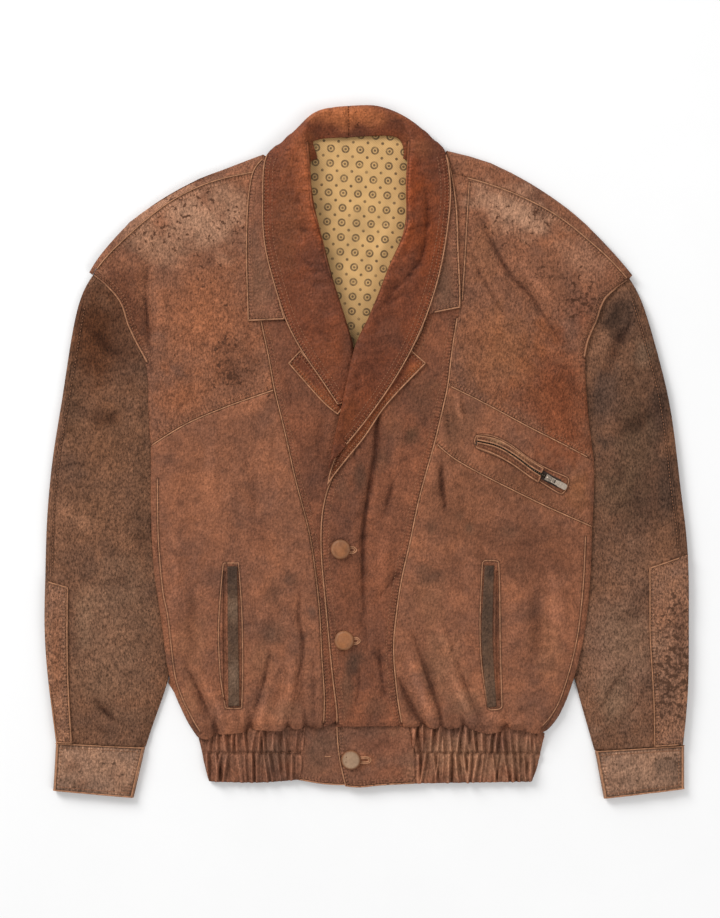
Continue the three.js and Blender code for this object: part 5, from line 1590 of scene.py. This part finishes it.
def ended(tree, geometry, given):
    """The end of a tree: plain faces with their finish."""
    real = add_node(tree, "GeometryNodeRealizeInstances", {}, {"Geometry": geometry})
    done = add_node(
        tree, "GeometryNodeSetMaterial", {},
        {"Geometry": real.outputs["Geometry"], "Material": given["Finish"]},
    )
    add_node(tree, "NodeGroupOutput", {}, {"Geometry": done.outputs["Geometry"]})


def row_tree(name, shape, settings):
    """Copies of a small shape set along the lines."""
    tree, keys = node_group(
        name, [("Pitch", "NodeSocketFloat"), ("Size", "NodeSocketVector"), ("Finish", "NodeSocketMaterial")]
    )
    given = tree.nodes.new("NodeGroupInput").outputs
    path = add_node(tree, "GeometryNodeMeshToCurve", {}, {"Mesh": given["Geometry"]})
    spots = add_node(
        tree, "GeometryNodeCurveToPoints", {"mode": "LENGTH"},
        {"Curve": path.outputs["Curve"], "Length": given["Pitch"]},
    )
    turn = add_node(
        tree, "FunctionNodeAlignRotationToVector", {"axis": "X"}, {"Vector": spots.outputs["Tangent"]}
    )
    one = add_node(tree, shape, {}, settings)
    placed = add_node(
        tree, "GeometryNodeInstanceOnPoints", {},
        {
            "Points": spots.outputs["Points"],
            "Instance": one.outputs["Mesh"],
            "Rotation": turn.outputs["Rotation"],
            "Scale": given["Size"],
        },
    )
    ended(tree, placed.outputs["Instances"], given)
    return tree, keys


def cord_tree():
    """A round bead swept along the lines."""
    tree, keys = node_group("turned_edges", [("Radius", "NodeSocketFloat"), ("Finish", "NodeSocketMaterial")])
    given = tree.nodes.new("NodeGroupInput").outputs
    path = add_node(tree, "GeometryNodeMeshToCurve", {}, {"Mesh": given["Geometry"]})
    ring = add_node(
        tree, "GeometryNodeCurvePrimitiveCircle", {"mode": "RADIUS"},
        {"Resolution": 6, "Radius": given["Radius"]},
    )
    tube = add_node(
        tree, "GeometryNodeCurveToMesh", {},
        {"Curve": path.outputs["Curve"], "Profile Curve": ring.outputs["Curve"], "Fill Caps": True},
    )
    smooth = add_node(tree, "GeometryNodeSetShadeSmooth", {}, {"Geometry": tube.outputs["Mesh"]})
    ended(tree, smooth.outputs["Geometry"], given)
    return tree, keys


def grown(name, lines, made, values):
    """The lines turned into a plain mesh by a geometry tree, as one piece of the jacket."""
    tree, keys = made
    guide = polylines(name + "_guide", lines)
    modifier = guide.modifiers.new("Grow", "NODES")
    modifier.node_group = tree
    for label, value in values.items():
        modifier[keys[label]] = value
    mesh = bpy.data.meshes.new_from_object(guide.evaluated_get(bpy.context.evaluated_depsgraph_get()))
    bpy.data.objects.remove(guide)
    if len(mesh.polygons) == 0:
        raise RuntimeError(f"{name}: nothing was sewn")
    mesh.name = name
    mesh.shade_smooth()
    obj = new_object(name, mesh)
    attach(obj, "jacket")
    return obj


# Thread lies on the leather. A turned edge, drawn in by EDGE_INSET, and the cord of a crossing seam sink in
THREAD_LIFT = 0.1 * MM
EDGE_LIFT = -0.3 * MM
CROSSING_LIFT = -0.45 * MM
EDGE_INSET = 0.7


class JACKET_OT_sewing(bpy.types.Operator):
    """Sew the rows of stitches and lay the turned edges"""

    bl_idname = "jacket.sewing"
    bl_label = "Sewing"

    def execute(self, context):
        sizes = context.scene.jacket_sizes
        stitches = row_tree("stitch_rows", "GeometryNodeMeshIcoSphere", {"Radius": 0.5, "Subdivisions": 1})
        cords = cord_tree()
        bead = (sizes.stitch_length, sizes.thread, sizes.thread)
        for group in ("fronts", "collar", "sleeves", "waistband"):
            sewn = []
            turned = []
            for node, (owner, insets, keep) in SEAMS.items():
                if owner != group:
                    continue
                for inset in insets:
                    sewn += lay_on(node, rim_runs(node, inset, keep), THREAD_LIFT)
                turned += lay_on(node, rim_runs(node, EDGE_INSET, keep), EDGE_LIFT)
            for owner, node, pull, line in FREE_SEAMS:
                if owner != group:
                    continue
                line = smooth_line(line, 2.0)
                if pull < CORD_PULL:
                    sewn += lay_on(node, [line], THREAD_LIFT)
                    continue
                turned += lay_on(node, [line], CROSSING_LIFT)
                if pull == LAP_PULL:
                    # an armhole has two rows beside its lap
                    side = headings(line)[1]
                    sewn += lay_on(node, [line + row * side for row in TWO_ROWS], THREAD_LIFT)
            if group == "waistband":
                for node, line in ELASTIC_ROWS:
                    sewn += lay_on(node, [smooth_line(line, 2.0)], 0.0)
            grown(
                f"{group}_stitches", sewn, stitches,
                {"Pitch": sizes.stitch_pitch, "Size": bead, "Finish": finish_of("thread")},
            )
            grown(f"{group}_edges", turned, cords, {"Radius": sizes.edge_cord, "Finish": finish_of("edge")})
        return {"FINISHED"}


# Streaks on the zip's lips: the pale ones along the upper lip are painted highlight on its rounded fold, the
# darker one lies on the lower lip
LIP_HIGHLIGHTS_AND_STAINS = [
    (146, 13, 16, 5, -20, "#c39a78", 0.8),
    (172, -4, 16, 4, -34, "#b98a68", 0.6),
    (160, -12, 40, 6, -32, "#7c5138", 0.6),
]
ZIP_LINE = [(123, 12), (146, 7), (167, -5), (188, -21), (203, -29)]


class JACKET_OT_chest_zip(bpy.types.Operator):
    """Build the chest zip: tape, lips, teeth, slider and pull"""

    bl_idname = "jacket.chest_zip"
    bl_label = "Chest zip"

    def execute(self, context):
        sizes = context.scene.jacket_sizes
        cloth("zip_tape", "zip_tape_cloth", 2, [], [], [], ["left_pocket_band"])
        for lip in ("zip_upper_lip", "zip_lower_lip"):
            cloth(lip, "front_leather", 3, [], LIP_HIGHLIGHTS_AND_STAINS, [], ["zip_tape"], self.swell, move=self.close)
        teeth = lay_on("zip_tape", [smooth_line(ZIP_LINE, 1.0)], 0.5 * MM)
        obj = grown(
            "zip_teeth", teeth, row_tree("zip_teeth", "GeometryNodeMeshCube", {"Size": (1, 1, 1)}),
            {
                "Pitch": sizes.tooth_pitch,
                "Size": (0.55 * sizes.tooth_pitch, 3.4 * MM, 1.0 * MM),
                "Finish": finish_of("teeth"),
            },
        )
        for node in ("zip_slider", "zip_pull"):
            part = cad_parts[node]
            part.data.materials.clear()
            part.data.materials.append(finish_of("zip_metal"))
            weld = part.modifiers.new("Weld", "WELD")
            weld.merge_threshold = WELD
            bevel = part.modifiers.new("Bevel", "BEVEL")
            bevel.width = 0.3 * MM
            bevel.segments = 2
            bevel.limit_method = "ANGLE"
        return {"FINISHED"}

    def swell(self, x, y, z):
        return 0.3 * noise(x, y, 6, 61)

    def close(self, x, y, z):
        """The lips nearly meet over the teeth."""
        line = smooth_line(ZIP_LINE, 1.0)
        toward = line[None] - np.column_stack([x, y])[:, None]
        away = np.linalg.norm(toward, axis=2)
        nearest = away.argmin(1)
        rows = np.arange(len(x))
        gap = away[rows, nearest]
        reach = 1.7 * fade(gap, 8, 3.5) / np.maximum(gap, 0.1)
        return toward[rows, nearest] * reach[:, None]


class JACKET_OT_buttons(bpy.types.Operator):
    """Build the covered buttons and their buttonholes"""

    bl_idname = "jacket.buttons"
    bl_label = "Buttons"

    def execute(self, context):
        for k in (1, 2, 3):
            self.button(f"button_{k}", k)
        self.holes(context.scene.jacket_sizes)
        return {"FINISHED"}

    def button(self, node, seed):
        """A dome of leather drawn over a disc, with a rounded rim and a tucked foot."""
        low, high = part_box(node)
        centre = (low + high) / 2
        radius = (high.x - low.x) / 2
        rise = high.z - low.z
        profile = smooth_line(
            [(0.6, 0.0), (0.66, 0.16), (0.95, 0.26), (1.0, 0.4), (0.95, 0.58), (0.78, 0.78), (0.5, 0.92),
             (0.25, 0.98), (0.0, 1.0)], 0.06)
        turns = 56
        bm = bmesh.new()
        rings = []
        for r, h in profile[:-1]:
            ring = []
            for k in range(turns):
                a = 2 * math.pi * k / turns
                dent = 1 + 0.015 * math.sin(3 * a + seed) + 0.01 * math.sin(7 * a + 2 * seed)
                ring.append(bm.verts.new((
                    centre.x + radius * r * dent * math.cos(a),
                    centre.y + radius * r * dent * math.sin(a),
                    low.z + rise * h,
                )))
            rings.append(ring)
        top = bm.verts.new((centre.x, centre.y, high.z))
        for a, b in zip(rings, rings[1:]):
            for k in range(turns):
                bm.faces.new((a[k], a[(k + 1) % turns], b[(k + 1) % turns], b[k]))
        for k in range(turns):
            bm.faces.new((rings[-1][k], rings[-1][(k + 1) % turns], top))
        bm.faces.new(rings[0][::-1])
        bmesh.ops.recalc_face_normals(bm, faces=bm.faces)
        mesh = bpy.data.meshes.new(node + "_piece")
        bm.to_mesh(mesh)
        bm.free()
        mesh.shade_smooth()
        x, y = points_of(mesh).T[:2]
        away = np.hypot(x - centre.x / MM, y - centre.y / MM) / (radius / MM)
        grey = 0.75 if seed == 3 else 0.0
        colour = np.tile(np.array(linear("#a08870")), (len(x), 1))
        # painted shade: the dome is darker towards its rim
        painted_rim_shade = fade(away, 0.7, 1.0)
        colour = colour * (1 - painted_rim_shade)[:, None] + np.array(linear("#6d4228")) * painted_rim_shade[:, None]
        store(mesh, "tone", np.column_stack([colour, np.maximum(grey, 0.6 * painted_rim_shade)]), "FLOAT_COLOR")
        store(mesh, "speck", np.full(len(x), 0.3 if seed == 3 else 0.1))
        store(mesh, "crease", 0 * x)
        store(mesh, "rim", np.full(len(x), FAR))
        store(mesh, "along", 0 * x)
        mesh.materials.append(finish_of("button_tan"))
        obj = new_object(node + "_piece", mesh)
        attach(obj, "jacket")
        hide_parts(node)

    def holes(self, sizes):
        """The ends of the bound buttonholes that show beside the buttons."""
        cords = []
        for x, y, reach, node in (
            (-20, -110, 9, "left_centre_front"), (-16, -211.5, 9, "left_centre_front"),
            (-8, -345.5, 13, "waistband_left_tab"),
        ):
            for half, end in ((3.4, reach), (1.9, reach - 2.2)):
                loop = [
                    (x, y + half), (x + end - half, y + half), (x + end, y), (x + end - half, y - half),
                    (x, y - half),
                ]
                cords += lay_on(node, [smooth_line(loop, 0.8)], 0.0)
        # the bar tack on the right tab
        cords += lay_on("waistband_right_tab", [smooth_line([(-47, -341.7), (-40, -341.7)], 0.8)], 0.0)
        grown("buttonholes", cords, cord_tree(), {"Radius": 0.75 * MM, "Finish": finish_of("edge")})


# The camera looks straight down on PHOTO_CENTRE, from where the photograph's long side spans PHOTO_SPAN
# at the height of the cloth
LENS = 85
SENSOR = 36
PHOTO_CENTRE = (-7.3, -8.1)
PHOTO_SPAN = 1028
CLOTH_LEVEL = 10


class JACKET_OT_stage(bpy.types.Operator):
    """Lay the floor, set the lights and place the camera"""

    bl_idname = "jacket.stage"
    bl_label = "Stage"

    def execute(self, context):
        scene = context.scene
        scene.view_settings.view_transform = "Standard"
        bm = bmesh.new()
        bmesh.ops.create_grid(bm, x_segments=1, y_segments=1, size=4)
        mesh = bpy.data.meshes.new("floor")
        bm.to_mesh(mesh)
        bm.free()
        floor = new_object("floor", mesh)
        board = plain_finish(
            "painted_board", scene.jacket_colours.floor, 0.9, spread=0.01, grain=0.2, bump=0.0, level=0.1
        )
        mesh.materials.append(board)

        world = bpy.data.worlds.new("soft_studio")
        scene.world = world
        world.use_nodes = True
        world.node_tree.nodes["Background"].inputs["Color"].default_value = (1, 1, 1, 1)
        world.node_tree.nodes["Background"].inputs["Strength"].default_value = 0.525
        self.softbox("key", (-2.6, 2.8, 2.4), 2.2, 176)
        self.softbox("fill", (1.6, -1.6, 2.4), 2.0, 26)

        camera = bpy.data.cameras.new("camera")
        camera.lens = LENS
        camera.sensor_width = SENSOR
        view = bpy.data.objects.new("camera", camera)
        height = PHOTO_SPAN * LENS / SENSOR + CLOTH_LEVEL
        view.location = Vector((*PHOTO_CENTRE, height)) * MM
        scene.collection.objects.link(view)
        scene.camera = view
        return {"FINISHED"}

    def softbox(self, name, place, size, power):
        light = bpy.data.lights.new(name, "AREA")
        light.size = size
        light.energy = power
        obj = bpy.data.objects.new(name, light)
        obj.location = place
        obj.rotation_mode = "QUATERNION"
        obj.rotation_quaternion = (-Vector(place)).to_track_quat("-Z", "Y")
        bpy.context.scene.collection.objects.link(obj)


class JACKET_PT_panel(bpy.types.Panel):
    """The jacket's steps, sizes and colours"""

    bl_idname = "JACKET_PT_panel"
    bl_label = "Leather blouson"
    bl_space_type = "VIEW_3D"
    bl_region_type = "UI"
    bl_category = "Jacket"

    def draw(self, context):
        for operator in STEPS:
            self.layout.operator(operator.bl_idname)
        for group in (context.scene.jacket_sizes, context.scene.jacket_colours):
            for name in group.__annotations__:
                self.layout.prop(group, name)


STEPS = (
    JACKET_OT_fronts,
    JACKET_OT_sleeves,
    JACKET_OT_collar,
    JACKET_OT_waistband,
    JACKET_OT_pockets,
    JACKET_OT_lining,
    JACKET_OT_chest_zip,
    JACKET_OT_sewing,
    JACKET_OT_buttons,
    JACKET_OT_stage,
)
CLASSES = (JacketSizes, JacketColours, *STEPS, JACKET_PT_panel)


def register():
    for cls in CLASSES:
        bpy.utils.register_class(cls)
    bpy.types.Scene.jacket_sizes = bpy.props.PointerProperty(type=JacketSizes)
    bpy.types.Scene.jacket_colours = bpy.props.PointerProperty(type=JacketColours)


def unregister():
    del bpy.types.Scene.jacket_colours
    del bpy.types.Scene.jacket_sizes
    for cls in reversed(CLASSES):
        bpy.utils.unregister_class(cls)


def main():
    register()
    bpy.ops.jacket.fronts()
    bpy.ops.jacket.sleeves()
    bpy.ops.jacket.collar()
    bpy.ops.jacket.waistband()
    bpy.ops.jacket.pockets()
    bpy.ops.jacket.lining()
    bpy.ops.jacket.chest_zip()
    bpy.ops.jacket.sewing()
    bpy.ops.jacket.buttons()
    bpy.ops.jacket.stage()


if __name__ == "__main__":
    main()
